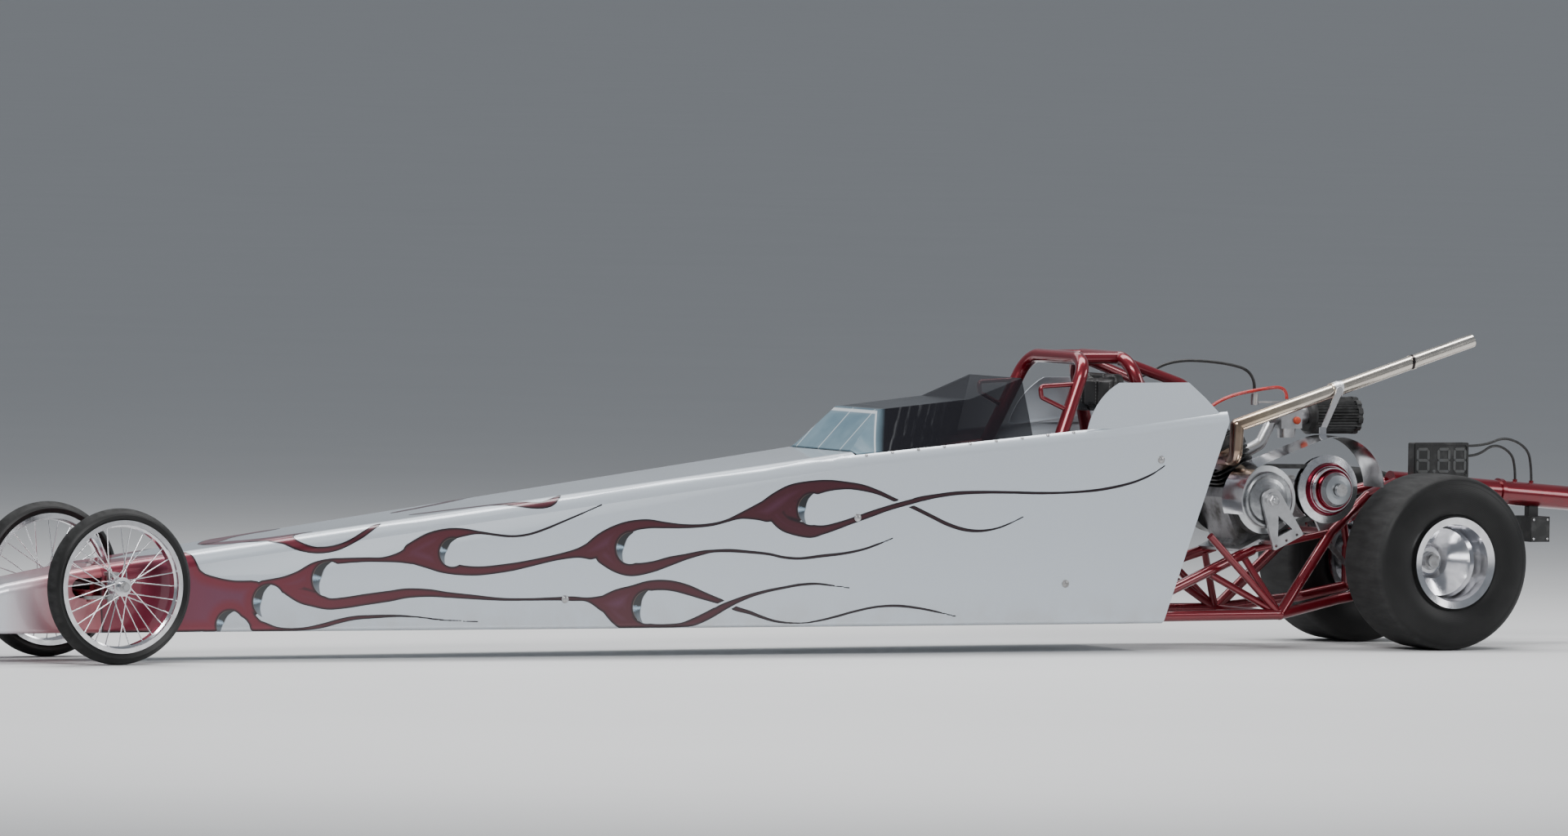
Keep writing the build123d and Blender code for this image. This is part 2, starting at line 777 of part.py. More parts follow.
# Front wheels: a rolled rim laced to a flanged hub with crossed wire spokes
hub_flange_offset = 20.0
spoke_cross = 38.0
for side, name in ((-1, "left"), (1, "right")):
    centre = (station(0), side * front_wheel_y, front_axle_z)
    section_plane = wheel_plane(*centre, side)
    wheel_axis = Axis(centre, (0, side, 0))
    rim_half = front_rim_width / 2
    with BuildPart() as front_wheel:
        with BuildSketch(section_plane) as rim_section:
            with BuildLine():
                Polyline(
                    (-rim_half, front_rim_radius),
                    (-rim_half + 2.5, front_rim_radius),
                    (-rim_half + 2.5, front_rim_radius - 9),
                    (-12, front_rim_radius - 9),
                    (-8, front_rim_well),
                    (8, front_rim_well),
                    (12, front_rim_radius - 9),
                    (rim_half - 2.5, front_rim_radius - 9),
                    (rim_half - 2.5, front_rim_radius),
                    (rim_half, front_rim_radius),
                    (rim_half, front_rim_radius - 12),
                    (14, front_rim_radius - 12),
                    (10, front_rim_well - 3),
                    (-10, front_rim_well - 3),
                    (-14, front_rim_radius - 12),
                    (-rim_half, front_rim_radius - 12),
                    close=True,
                )
            make_face()
        revolve(rim_section.sketch, axis=wheel_axis)
        with BuildSketch(section_plane) as hub_section:
            hub_half = front_hub_length / 2
            with BuildLine():
                Polyline(
                    (-hub_half, spindle_radius + running_clearance),
                    (hub_half, spindle_radius + running_clearance),
                    (hub_half, 13),
                    (hub_flange_offset + 2, 15),
                    (hub_flange_offset + 2, front_hub_radius),
                    (hub_flange_offset - 2, front_hub_radius),
                    (hub_flange_offset - 2, 14),
                    (-hub_flange_offset + 2, 14),
                    (-hub_flange_offset + 2, front_hub_radius),
                    (-hub_flange_offset - 2, front_hub_radius),
                    (-hub_flange_offset - 2, 15),
                    (-hub_half, 13),
                    close=True,
                )
            make_face()
        revolve(hub_section.sketch, axis=wheel_axis)
        for index in range(2 * spokes_per_flange):
            flange = 1 if index % 2 else -1
            lean = 1 if index % 4 < 2 else -1
            angle = 180.0 / spokes_per_flange * index
            foot = Vector(0, 0, front_hub_radius - 4).rotate(Axis.Y, angle + lean * spoke_cross)
            head = Vector(0, 0, front_rim_well - 2).rotate(Axis.Y, angle)
            tube(
                Vector(*centre) + foot + Vector(0, flange * hub_flange_offset, 0),
                Vector(*centre) + head + Vector(0, flange * 4, 0),
                spoke_radius,
            )
    front_wheel.part.label = f"front_wheel_{name}"
    export_step(front_wheel.part, f"parts/front_wheel_{name}.step")

    with BuildPart() as front_tyre:
        bead = rim_half - 2.5 - seat_gap
        tyre_half = front_tyre_width / 2
        with BuildSketch(section_plane) as tyre_section:
            with BuildLine():
                base = Polyline(
                    (-bead, front_rim_radius + 1),
                    (-bead, front_rim_radius - 9 + seat_gap),
                    (bead, front_rim_radius - 9 + seat_gap),
                    (bead, front_rim_radius + 1),
                )
                far_side = Line(base @ 1, (tyre_half, front_tyre_radius - 17))
                near_side = Line(base @ 0, (-tyre_half, front_tyre_radius - 17))
                ThreePointArc(near_side @ 1, (0, front_tyre_radius), far_side @ 1)
            make_face()
        revolve(tyre_section.sketch, axis=wheel_axis)
    front_tyre.part.label = f"front_tyre_{name}"
    export_step(front_tyre.part, f"parts/front_tyre_{name}.step")

# Steering wheel: two hand grips on a flat crossbar, and the shaft to the front
steering_tilt = radians(steering_rake)
shaft_direction = Vector(cos(steering_tilt), 0, sin(steering_tilt))
steering_centre = Vector(station(steering_station), 0, steering_height)
steering_plane = Plane(origin=steering_centre, x_dir=(0, 1, 0), z_dir=shaft_direction)
shaft_radius = 9.5
grip_half_angle = 44.0
with BuildPart() as steering_wheel:
    with BuildSketch(steering_plane) as crossbar:
        Rectangle(2 * steering_wheel_radius, 26)
        Circle(32)
    extrude(crossbar.sketch, amount=3, both=True)
    for start in (-grip_half_angle, 180 - grip_half_angle):
        with BuildLine(steering_plane) as grip:
            CenterArc((0, 0), steering_wheel_radius, start, 2 * grip_half_angle)
        with BuildSketch(Plane(origin=grip.line @ 0, z_dir=grip.line % 0)) as grip_section:
            Circle(steering_grip_radius)
        sweep(grip_section.sketch, path=grip.line)
    tube(steering_centre, steering_centre - shaft_direction * column_length, shaft_radius)
steering_wheel.part.label = "steering_wheel"
export_step(steering_wheel.part, "parts/steering_wheel.step")

# Column sleeve and its cross tube between the upper rails
sleeve_start = steering_centre - shaft_direction * (column_length - 60)
sleeve_end = steering_centre - shaft_direction * (column_length - 120)
sleeve_station = (sleeve_start + sleeve_end).X / 2 - front_axle_x
with BuildPart() as column_sleeve:
    tube(sleeve_start, sleeve_end, shaft_radius + 5)
    sleeve_z = (sleeve_start + sleeve_end).Z / 2
    sleeve_ends = [
        (station(sleeve_station), side * (rail_y(sleeve_station) + 4), upper_rail_z(sleeve_station) - 2)
        for side in (-1, 1)
    ]
    sleeve_middle = (station(sleeve_station), 0, sleeve_z)
    tube(sleeve_ends[0], sleeve_middle, brace_radius)
    tube(sleeve_middle, sleeve_ends[1], brace_radius)
    tube(sleeve_start, sleeve_end, shaft_radius + running_clearance, mode=Mode.SUBTRACT)
    add(frame_sides, mode=Mode.SUBTRACT)
column_sleeve.part.label = "column_sleeve"
export_step(column_sleeve.part, "parts/column_sleeve.step")

# Engine frame of reference: u runs back along the sloping base, v up the leaning cylinder
lean = radians(engine_lean)
crank_x = station(crank_station)


def engine_plane(y):
    """Plane facing -Y with its origin on the crankshaft's axis."""
    return Plane(origin=(crank_x, y, crank_height), x_dir=(cos(lean), 0, sin(lean)), z_dir=(0, -1, 0))


def engine_point(u, y, v):
    """World place of a point given in the engine's leaning frame."""
    return (
        crank_x + u * cos(lean) - v * sin(lean),
        y,
        crank_height + u * sin(lean) + v * cos(lean),
    )


def engine_level(v):
    """Plane across the cylinder: local x is u, local y is +Y."""
    return Plane(origin=engine_point(0, 0, v), x_dir=(cos(lean), 0, sin(lean)), z_dir=(-sin(lean), 0, cos(lean)))


# Crankcase on its mounting plate, with the output shaft to the left
case_cover_radius = 52.0
case_cover_wall = 12.0
crank_left_end = -184.0
with BuildPart() as crankcase:
    with BuildSketch(engine_plane(crankcase_half_width)) as case_outline:
        with BuildLine():
            Polyline(
                (crankcase_front, crankcase_base),
                (crankcase_back, crankcase_base),
                (crankcase_back, crankcase_base + 10),
                (crankcase_back - 14, crankcase_base + 16),
                (crankcase_back - 14, crankcase_top - 20),
                (crankcase_back - 34, crankcase_top),
                (crankcase_front + 26, crankcase_top),
                (crankcase_front + 12, crankcase_top - 20),
                (crankcase_front + 12, crankcase_base + 16),
                (crankcase_front, crankcase_base + 10),
                close=True,
            )
        make_face()
    extrude(case_outline.sketch, amount=2 * crankcase_half_width)
    with BuildSketch(engine_plane(-crankcase_half_width)) as cover:
        Circle(case_cover_radius)
    extrude(cover.sketch, amount=case_cover_wall)
    tube((crank_x, 0, crank_height), (crank_x, crank_left_end, crank_height), crank_radius)
crankcase.part.label = "crankcase"
export_step(crankcase.part, "parts/crankcase.step")

# Cooling-fan housing on the right of the engine
fan_radius = 96.0
fan_depth = 62.0
with BuildPart() as fan_housing:
    with BuildSketch(engine_plane(crankcase_half_width + fan_depth)) as fan_outline:
        Circle(fan_radius)
    extrude(fan_outline.sketch, amount=fan_depth)
    fillet(fan_housing.edges().group_by(Axis.Y)[-1], 14)
    with BuildSketch(engine_plane(crankcase_half_width + fan_depth + 1)) as intake_ring:
        Circle(62)
        Circle(30, mode=Mode.SUBTRACT)
        for turn in range(6):
            with Locations(Rotation(0, 0, 60 * turn) * Pos(46, 0)):
                Rectangle(34, 6, mode=Mode.SUBTRACT)
    extrude(intake_ring.sketch, amount=9, mode=Mode.SUBTRACT)
fan_housing.part.label = "fan_housing"
export_step(fan_housing.part, "parts/fan_housing.step")

# Finned cylinder barrel, leaning forward
fin_base = crankcase_top
cylinder_height = fin_count * fin_pitch
with BuildPart() as cylinder:
    with BuildSketch(engine_level(fin_base)) as barrel_section:
        Circle(barrel_radius)
    extrude(barrel_section.sketch, amount=cylinder_height)
    for index in range(fin_count):
        fin_v = fin_base + (index + 1) * fin_pitch - fin_thickness
        with BuildSketch(engine_level(fin_v)) as fin:
            RectangleRounded(2 * fin_half_length, 2 * fin_half_width, 16)
        extrude(fin.sketch, amount=fin_thickness)
cylinder.part.label = "cylinder"
export_step(cylinder.part, "parts/cylinder.step")

# Cylinder head with its upright fins
head_base = fin_base + cylinder_height
head_deck = 9.0
head_fin_count = 7
with BuildPart() as cylinder_head:
    with BuildSketch(engine_level(head_base)) as deck:
        RectangleRounded(2 * fin_half_length, 2 * fin_half_width, 16)
    extrude(deck.sketch, amount=head_deck)
    with BuildSketch(engine_level(head_base + head_deck)) as head_fins:
        with GridLocations(0, (2 * fin_half_width - 16) / (head_fin_count - 1), 1, head_fin_count):
            Rectangle(2 * fin_half_length - 18, 3.5)
    extrude(head_fins.sketch, amount=head_height - head_deck)
cylinder_head.part.label = "cylinder_head"
export_step(cylinder_head.part, "parts/cylinder_head.step")

# Engine mounting plate that sits on the sloping rails
mount_wall = 8.0
mount_half = engine_rail_y + 12.0
with BuildPart() as engine_mount:
    with BuildSketch(engine_plane(mount_half)) as mount_section:
        with Locations(((crankcase_front + crankcase_back) / 2, crankcase_base - mount_wall / 2)):
            Rectangle(crankcase_back - crankcase_front + 24, mount_wall)
    extrude(mount_section.sketch, amount=2 * mount_half)
    add(rear_frame.part, mode=Mode.SUBTRACT)
engine_mount.part.label = "engine_mount"
export_step(engine_mount.part, "parts/engine_mount.step")

# Exhaust: an elbow from the cylinder's left side and one long straight pipe
pipe_radius = 18.0
pipe_wall = 1.6
pipe_y = -125.0
pipe_start = (station(crank_station - 73), pipe_y, 580.0)
pipe_end = (station(wheelbase + 158), pipe_y, 798.0)
flange_wall = 8.0
port_u = -26.0
port_v = fin_base + cylinder_height - 14
port_y = -fin_half_width - seat_gap
elbow_start = port_y - 4.0
port = engine_point(port_u, elbow_start, port_v)
tip_radius = pipe_radius - 0.4


def pipe_point(share):
    """A point this share of the way along the straight pipe."""
    return tuple(a + share * (b - a) for a, b in zip(pipe_start, pipe_end))


with BuildPart() as exhaust_pipe:
    tube(pipe_start, pipe_point(0.745), pipe_radius)
    tube(pipe_point(0.74), pipe_end, tip_radius)
    tube(pipe_point(0.4), pipe_point(0.43), pipe_radius + 3)
    tube(pipe_point(0.735), pipe_point(0.75), pipe_radius + 1.5)
    bent_tube(
        [port, engine_point(port_u, pipe_y, port_v), pipe_start],
        24.0, pipe_radius)
    with Locations(pipe_start):
        Sphere(pipe_radius)
    with BuildSketch(engine_plane(port_y)) as port_flange:
        with Locations((port_u, port_v)):
            SlotOverall(76, 44)
    extrude(port_flange.sketch, amount=flange_wall)
    tube(pipe_point(0.5), pipe_point(1.02), tip_radius - pipe_wall, mode=Mode.SUBTRACT)
exhaust_pipe.part.label = "exhaust_pipe"
export_step(exhaust_pipe.part, "parts/exhaust_pipe.step")

# Carburettor with its intake manifold
carb_x = station(crank_station + 143)
carb_z = 600.0
filter_radius = 49.0
filter_length = 150.0
filter_start = crank_station + 198.0
intake_y = -10.0
fuel_barb_top = 43.0
vent_valve_x = carb_x - 98.0
vent_valve_top = 70.0
with BuildPart() as carburettor:
    with Locations((carb_x, intake_y, carb_z)):
        Box(62, 56, 66)
    with BuildSketch(Plane(origin=(carb_x - 60, intake_y, carb_z), x_dir=(0, 1, 0), z_dir=(1, 0, 0))) as throat:
        Circle(24)
    extrude(throat.sketch, amount=station(filter_start) - carb_x + 60 - seat_gap)
    with BuildSketch(Plane(origin=(carb_x, intake_y, carb_z - 33), x_dir=(1, 0, 0), z_dir=(0, 0, -1))) as float_bowl:
        Circle(25)
    extrude(float_bowl.sketch, amount=24, taper=6)
    tube((carb_x, intake_y, carb_z + 30), (carb_x, intake_y, carb_z + fuel_barb_top), 5)
    with Locations(((vent_valve_x + carb_x - 20) / 2, intake_y, carb_z + 35)):
        Box(carb_x - 20 - vent_valve_x, 16, 4)
    tube((vent_valve_x, intake_y, carb_z + 28), (vent_valve_x, intake_y, carb_z + 58), 11)
    tube((vent_valve_x, intake_y, carb_z + 56), (vent_valve_x, intake_y, carb_z + vent_valve_top), 5)
    intake_port = engine_point(barrel_radius, intake_y, fin_base + cylinder_height / 2)
    bent_tube(
        [intake_port, engine_point(115, intake_y, fin_base + cylinder_height / 2), (carb_x - 40, intake_y, carb_z)],
        30.0, 16.0)
    add(cylinder.part, mode=Mode.SUBTRACT)
    add(cylinder_head.part, mode=Mode.SUBTRACT)
carburettor.part.label = "carburettor"
export_step(carburettor.part, "parts/carburettor.step")

# Air filter: a drum of deep pleats with a scalloped end cap
pleats = 36
pleat_depth = 5.0
filter_cap = 14.0
scallops = 12
scallop_radius = 7.0
with BuildPart() as air_filter:
    with BuildSketch(cross_plane(filter_start)) as front_cap:
        with Locations((intake_y, carb_z)):
            Circle(filter_radius)
    extrude(front_cap.sketch, amount=filter_cap)
    chamfer(air_filter.edges().group_by(Axis.X)[0], 8)
    with BuildSketch(cross_plane(filter_start + filter_cap)) as pleated_drum:
        with BuildLine():
            Polyline(*zigzag((intake_y, carb_z), filter_radius - 1, filter_radius - pleat_depth, pleats), close=True)
        make_face()
    extrude(pleated_drum.sketch, amount=filter_length - 2 * filter_cap)
    with BuildSketch(cross_plane(filter_start + filter_length - filter_cap)) as rear_cap:
        with Locations((intake_y, carb_z)):
            Circle(filter_radius)
            with PolarLocations(filter_radius + 3, scallops):
                Circle(scallop_radius, mode=Mode.SUBTRACT)
    extrude(rear_cap.sketch, amount=filter_cap)
air_filter.part.label = "air_filter"
export_step(air_filter.part, "parts/air_filter.step")


def hull_band(y, width, front_outer, rear_outer, front_inner, rear_inner):
    """A closed band round the two pulley centres."""
    with BuildSketch(side_plane(y + width / 2)) as outer_loop:
        with Locations((crank_x, crank_height)):
            Circle(front_outer)
        with Locations((station(driven_station), driven_height)):
            Circle(rear_outer)
        make_hull()
    with BuildSketch(side_plane(y + width / 2)) as inner_loop:
        with Locations((crank_x, crank_height)):
            Circle(front_inner)
        with Locations((station(driven_station), driven_height)):
            Circle(rear_inner)
        make_hull()
    extrude(outer_loop.sketch, amount=width)
    extrude(inner_loop.sketch, amount=width, mode=Mode.SUBTRACT)


# Rubber drive belt and the two pulleys that it runs on
belt_y = -138.0
belt_width = 22.0
belt_depth = 11.0
drive_belt_radius = 92.0
driven_belt_radius = 64.0
drive_sheave_radius = 89.0
with BuildPart() as drive_belt:
    hull_band(
        belt_y, belt_width, drive_belt_radius, driven_belt_radius,
        drive_belt_radius - belt_depth, driven_belt_radius - belt_depth)
drive_belt.part.label = "drive_belt"
export_step(drive_belt.part, "parts/drive_belt.step")


def revolved(profile, centre, side=-1):
    """A turned piece on an axis across the car, from (offset outboard, radius) pairs."""
    with BuildSketch(wheel_plane(*centre, side)) as section:
        with BuildLine():
            Polyline(*profile, close=True)
        make_face()
    revolve(section.sketch, axis=Axis(centre, (0, side, 0)))


groove = belt_width / 2 + seat_gap
shaft_fit = crank_radius + running_clearance
clutch_depth = 26.0
# Offsets are outboard of the belt's centre line
drive_profile = [
    (-groove - 10, shaft_fit),
    (-groove - 10, drive_sheave_radius - 14),
    (-groove - 5, drive_sheave_radius),
    (-groove, drive_sheave_radius),
    (-groove, drive_belt_radius - belt_depth - seat_gap),
    (groove, drive_belt_radius - belt_depth - seat_gap),
    (groove, drive_sheave_radius),
    (groove + 4, drive_sheave_radius),
    (groove + 6, drive_clutch_radius + 4),
    (groove + 10, drive_clutch_radius),
    (groove + 22, drive_clutch_radius),
    (groove + 25, drive_clutch_radius - 5),
    (groove + 22, drive_clutch_radius - 10),
    (groove + 20, drive_clutch_radius - 14),
    (groove + 23, drive_clutch_radius - 24),
    (groove + clutch_depth, 26),
    (groove + clutch_depth, shaft_fit),
]
with BuildPart() as drive_clutch:
    revolved(drive_profile, (crank_x, belt_y, crank_height))
drive_clutch.part.label = "drive_clutch"
export_step(drive_clutch.part, "parts/drive_clutch.step")

jack_radius = 10.0
jack_fit = jack_radius + running_clearance
driven_profile = [
    (-groove - 8, jack_fit),
    (-groove - 8, 40),
    (-groove - 4, driven_clutch_radius - 4),
    (-groove, driven_clutch_radius - 4),
    (-groove, driven_belt_radius - belt_depth - seat_gap),
    (groove, driven_belt_radius - belt_depth - seat_gap),
    (groove, driven_clutch_radius),
    (groove + 5, driven_clutch_radius),
    (groove + 8, 68),
    (groove + 18, 66),
    (groove + 18, 60),
    (groove + 34, 57),
    (groove + 34, 50),
    (groove + 46, 48),
    (groove + 46, 45),
    (groove + 60, 38),
    (groove + 62, 24),
    (groove + 62, jack_fit),
]
with BuildPart() as driven_clutch:
    revolved(driven_profile, (station(driven_station), belt_y, driven_height))
driven_clutch.part.label = "driven_clutch"
export_step(driven_clutch.part, "parts/driven_clutch.step")

# Outboard support plate of the crankshaft, bolted to the engine's mounting plate
plate_top_radius = 30.0
plate_foot = 122.0
plate_foot_half = 50.0
with BuildPart() as support_plate:
    with BuildSketch(engine_plane(support_plate_y + support_plate_wall)) as plate_outline:
        Circle(plate_top_radius)
        with Locations((plate_foot_half - 8, -plate_foot + 6), (-plate_foot_half + 8, -plate_foot + 6)):
            Circle(6)
        make_hull()
        with BuildLine():
            Polyline((-24, -94), (24, -94), (0, -44), close=True)
        make_face(mode=Mode.SUBTRACT)
        with GridLocations(34, 0, 3, 1):
            with Locations((-4, -plate_foot + 9)):
                Circle(4, mode=Mode.SUBTRACT)
    extrude(plate_outline.sketch, amount=support_plate_wall)
    with BuildSketch(engine_plane(-mount_half)) as foot_outline:
        with Locations((0, -plate_foot + 16)):
            Rectangle(2 * plate_foot_half - 30, 12)
    extrude(foot_outline.sketch, amount=-support_plate_y - mount_half - support_plate_wall)
    boss_face = belt_y - groove - clutch_depth - seat_gap
    with BuildSketch(engine_plane(boss_face)) as bearing_boss:
        Circle(20)
    extrude(bearing_boss.sketch, amount=boss_face - support_plate_y + 6)
    with BuildSketch(engine_plane(support_plate_y + 40)) as bearing_bore:
        Circle(shaft_fit)
    extrude(bearing_bore.sketch, amount=60, mode=Mode.SUBTRACT)
support_plate.part.label = "support_plate"
export_step(support_plate.part, "parts/support_plate.step")

# Polished belt guard: a band that arches over both pulleys and is open below
guard_y = -155.0
guard_start = (station(crank_station - 95), 352.0)
guard_end = (station(driven_station + 143), 420.0)
guard_reach = 250.0
strut_wall = 4.0
strut_y = pipe_y - pipe_radius - 3 - seat_gap
strut_foot = (driven_station - 18, driven_height + guard_rear_radius + guard_wall + 8)
with BuildPart() as belt_guard:
    hull_band(
        guard_y, guard_width, guard_front_radius + guard_wall, guard_rear_radius + guard_wall,
        guard_front_radius, guard_rear_radius)
    with BuildSketch(side_plane(guard_y + guard_width)) as open_below:
        with BuildLine():
            Polyline(
                (station(crank_station) - guard_reach, 330.0),
                guard_start,
                (crank_x, crank_height),
                (station(driven_station), driven_height),
                guard_end,
                (station(driven_station) + guard_reach, 420.0),
                (station(driven_station) + guard_reach, 200.0),
                (station(crank_station) - guard_reach, 200.0),
                close=True,
            )
        make_face()
    extrude(open_below.sketch, amount=2 * guard_width, mode=Mode.SUBTRACT)
    with Locations((station(strut_foot[0]), strut_y - strut_wall - seat_gap - strut_wall / 2, strut_foot[1] + 1)):
        Box(20, strut_wall, 24)
belt_guard.part.label = "belt_guard"
export_step(belt_guard.part, "parts/belt_guard.step")

# Flat strut from the exhaust clamp down to the belt guard
strut_top = pipe_point(0.415)
with BuildPart() as exhaust_strut:
    with BuildSketch(side_plane(strut_y)) as strut_outline:
        with Locations((strut_top[0], strut_top[2])):
            Circle(9)
        with Locations((station(strut_foot[0]), strut_foot[1])):
            Circle(7)
        make_hull()
    extrude(strut_outline.sketch, amount=strut_wall)
exhaust_strut.part.label = "exhaust_strut"
export_step(exhaust_strut.part, "parts/exhaust_strut.step")

# Jackshaft in its two carrier plates, with the small chain sprocket
jack_x = station(driven_station)
jack_plate_y = rear_frame_y - rail_radius - seat_gap
jack_plate_wall = 10.0
jack_end = belt_y - groove - 62 - 16
with BuildPart() as jack_plates:
    for side in (-1, 1):
        outer_face = jack_plate_y if side > 0 else -jack_plate_y + jack_plate_wall
        with BuildSketch(side_plane(outer_face)) as jack_plate:
            with Locations((jack_x, driven_height)):
                Circle(30)
            with Locations((station(knee_station), knee_height)):
                Circle(20)
            make_hull()
            with Locations((jack_x, driven_height)):
                Circle(jack_fit, mode=Mode.SUBTRACT)
        extrude(jack_plate.sketch, amount=jack_plate_wall)
    add(rear_frame.part, mode=Mode.SUBTRACT)
jack_plates.part.label = "jack_plates"
export_step(jack_plates.part, "parts/jack_plates.step")

# Roller chain on its pitch line: the pitch follows from the two shafts, the links and the teeth
chain_links = 84
axle_teeth = 46
jack_teeth = 12
roller_radius = 4.0
roller_sides = 8
roller_half = 3.2
link_wall = 1.4
link_half_height = 5.2
link_corner = 3.2
sprocket_half = 2.5
shaft_distance = (Vector(rear_axle_x, rear_axle_z) - Vector(jack_x, driven_height)).length
chain_fall = atan2(driven_height - rear_axle_z, rear_axle_x - jack_x)
chain_pitch = 12.7
for _ in range(20):
    axle_pitch_radius = axle_teeth * chain_pitch / (2 * pi)
    jack_pitch_radius = jack_teeth * chain_pitch / (2 * pi)
    wrap = asin((axle_pitch_radius - jack_pitch_radius) / shaft_distance)
    straight = shaft_distance * cos(wrap)
    axle_arc = axle_pitch_radius * (pi + 2 * wrap)
    jack_arc = jack_pitch_radius * (pi - 2 * wrap)
    chain_pitch = (2 * straight + axle_arc + jack_arc) / chain_links


def chain_point(travel):
    """X and Z on the pitch line, this far round from the top of the small sprocket."""
    rest = travel - straight - axle_arc
    if travel < straight:
        along = travel * cos(wrap) - jack_pitch_radius * sin(wrap)
        across = travel * sin(wrap) + jack_pitch_radius * cos(wrap)
    elif rest < 0:
        turn = pi / 2 + wrap - (travel - straight) / axle_pitch_radius
        along = shaft_distance + axle_pitch_radius * cos(turn)
        across = axle_pitch_radius * sin(turn)
    elif rest < straight:
        along = shaft_distance - axle_pitch_radius * sin(wrap) - rest * cos(wrap)
        across = rest * sin(wrap) - axle_pitch_radius * cos(wrap)
    else:
        turn = -pi / 2 - wrap - (rest - straight) / jack_pitch_radius
        along = jack_pitch_radius * cos(turn)
        across = jack_pitch_radius * sin(turn)
    return (
        jack_x + along * cos(chain_fall) + across * sin(chain_fall),
        driven_height - along * sin(chain_fall) + across * cos(chain_fall),
    )


chain_joints = [chain_point(index * chain_pitch) for index in range(chain_links)]
with BuildPart() as drive_chain:
    with BuildSketch(side_plane(chain_y + roller_half)) as rollers:
        with Locations(*chain_joints):
            RegularPolygon(roller_radius, roller_sides)
    extrude(rollers.sketch, amount=2 * roller_half)
    # Inner plates join every other pair of rollers, and outer plates the pairs between
    for first, plate_face in ((0, roller_half), (1, roller_half + link_wall)):
        for plate_y in (chain_y + plate_face + link_wall, chain_y - plate_face):
            with BuildSketch(side_plane(plate_y)) as plates:
                for index in range(first, chain_links, 2):
                    x, z = chain_joints[index]
                    next_x, next_z = chain_joints[(index + 1) % chain_links]
                    lie = degrees(atan2(next_z - z, next_x - x))
                    with Locations(Pos((x + next_x) / 2, (z + next_z) / 2) * Rotation(0, 0, lie)):
                        Rectangle(chain_pitch + 2 * link_half_height, 2 * link_half_height)
                chamfer(plates.vertices(), link_corner)
            extrude(plates.sketch, amount=link_wall)
drive_chain.part.label = "drive_chain"
export_step(drive_chain.part, "parts/drive_chain.step")

# Jackshaft with its nut and the small sprocket, whose teeth stand between the chain's rollers
jack_seat_index = ceil((2 * straight + axle_arc) / chain_pitch)
jack_seat_x, jack_seat_z = chain_joints[jack_seat_index]
jack_seat_turn = degrees(atan2(jack_seat_z - driven_height, jack_seat_x - jack_x))
tooth_height = 3.4
with BuildPart() as jackshaft:
    tube((jack_x, jack_plate_y + 12, driven_height), (jack_x, jack_end, driven_height), jack_radius)
    tube((jack_x, jack_end + 1, driven_height), (jack_x, jack_end + 13, driven_height), jack_radius + 6)
    with BuildSketch(side_plane(chain_y + sprocket_half)) as small_sprocket:
        with Locations((jack_x, driven_height)):
            Circle(jack_pitch_radius + tooth_height)
            with PolarLocations(jack_pitch_radius, jack_teeth, jack_seat_turn):
                Circle(roller_radius + seat_gap, mode=Mode.SUBTRACT)
        with Locations(*chain_joints):
            Circle(roller_radius + seat_gap, mode=Mode.SUBTRACT)
    extrude(small_sprocket.sketch, amount=2 * sprocket_half)
jackshaft.part.label = "jackshaft"
export_step(jackshaft.part, "parts/jackshaft.step")

# Rear axle shaft with a drive flange and a nut for each wheel
rear_wheel_y = rear_track / 2
wheel_seat = rear_wheel_y - 50.0
axle_flange_radius = 42.0
hub_wall = 18.0
axle_fit = rear_axle_radius + running_clearance
with BuildPart() as rear_axle:
    axle_half = wheel_seat + hub_wall + 24
    tube((rear_axle_x, -axle_half, rear_axle_z), (rear_axle_x, axle_half, rear_axle_z), rear_axle_radius)
    for side in (-1, 1):
        tube(
            (rear_axle_x, side * (wheel_seat - 12), rear_axle_z),
            (rear_axle_x, side * wheel_seat, rear_axle_z),
            axle_flange_radius,
        )
        nut_plane = Plane(
            origin=(rear_axle_x, side * (wheel_seat + hub_wall), rear_axle_z), z_dir=(0, side, 0))
        with BuildSketch(nut_plane) as nut:
            RegularPolygon(24, 6)
        extrude(nut.sketch, amount=14)
    for y, radius in ((chain_y, 34.0), (brake_y, 34.0)):
        tube((rear_axle_x, y - 10, rear_axle_z), (rear_axle_x, y - 2.5, rear_axle_z), radius)
rear_axle.part.label = "rear_axle"
export_step(rear_axle.part, "parts/rear_axle.step")

# Axle sprocket, toothed just inside the chain's rollers, and the drilled brake disc
disc_wall = 5.0
axle_sprocket_radius = axle_pitch_radius - roller_radius - 0.5
for name, y, radius, holes in (
    ("axle_sprocket", chain_y, axle_sprocket_radius, 6),
    ("brake_disc", brake_y, brake_disc_radius, 8),
):
    with BuildPart() as disc:
        with BuildSketch(side_plane(y + disc_wall / 2)) as face:
            if name == "axle_sprocket":
                with BuildLine():
                    Polyline(*zigzag((rear_axle_x, rear_axle_z), radius, radius - 5, axle_teeth), close=True)
                make_face()
            with Locations((rear_axle_x, rear_axle_z)):
                Circle(radius if name == "brake_disc" else radius - 3)
                Circle(axle_fit, mode=Mode.SUBTRACT)
                with PolarLocations(0.64 * radius, holes):
                    Circle(0.16 * radius, mode=Mode.SUBTRACT)
        extrude(face.sketch, amount=disc_wall)
    disc.part.label = name
    export_step(disc.part, f"parts/{name}.step")

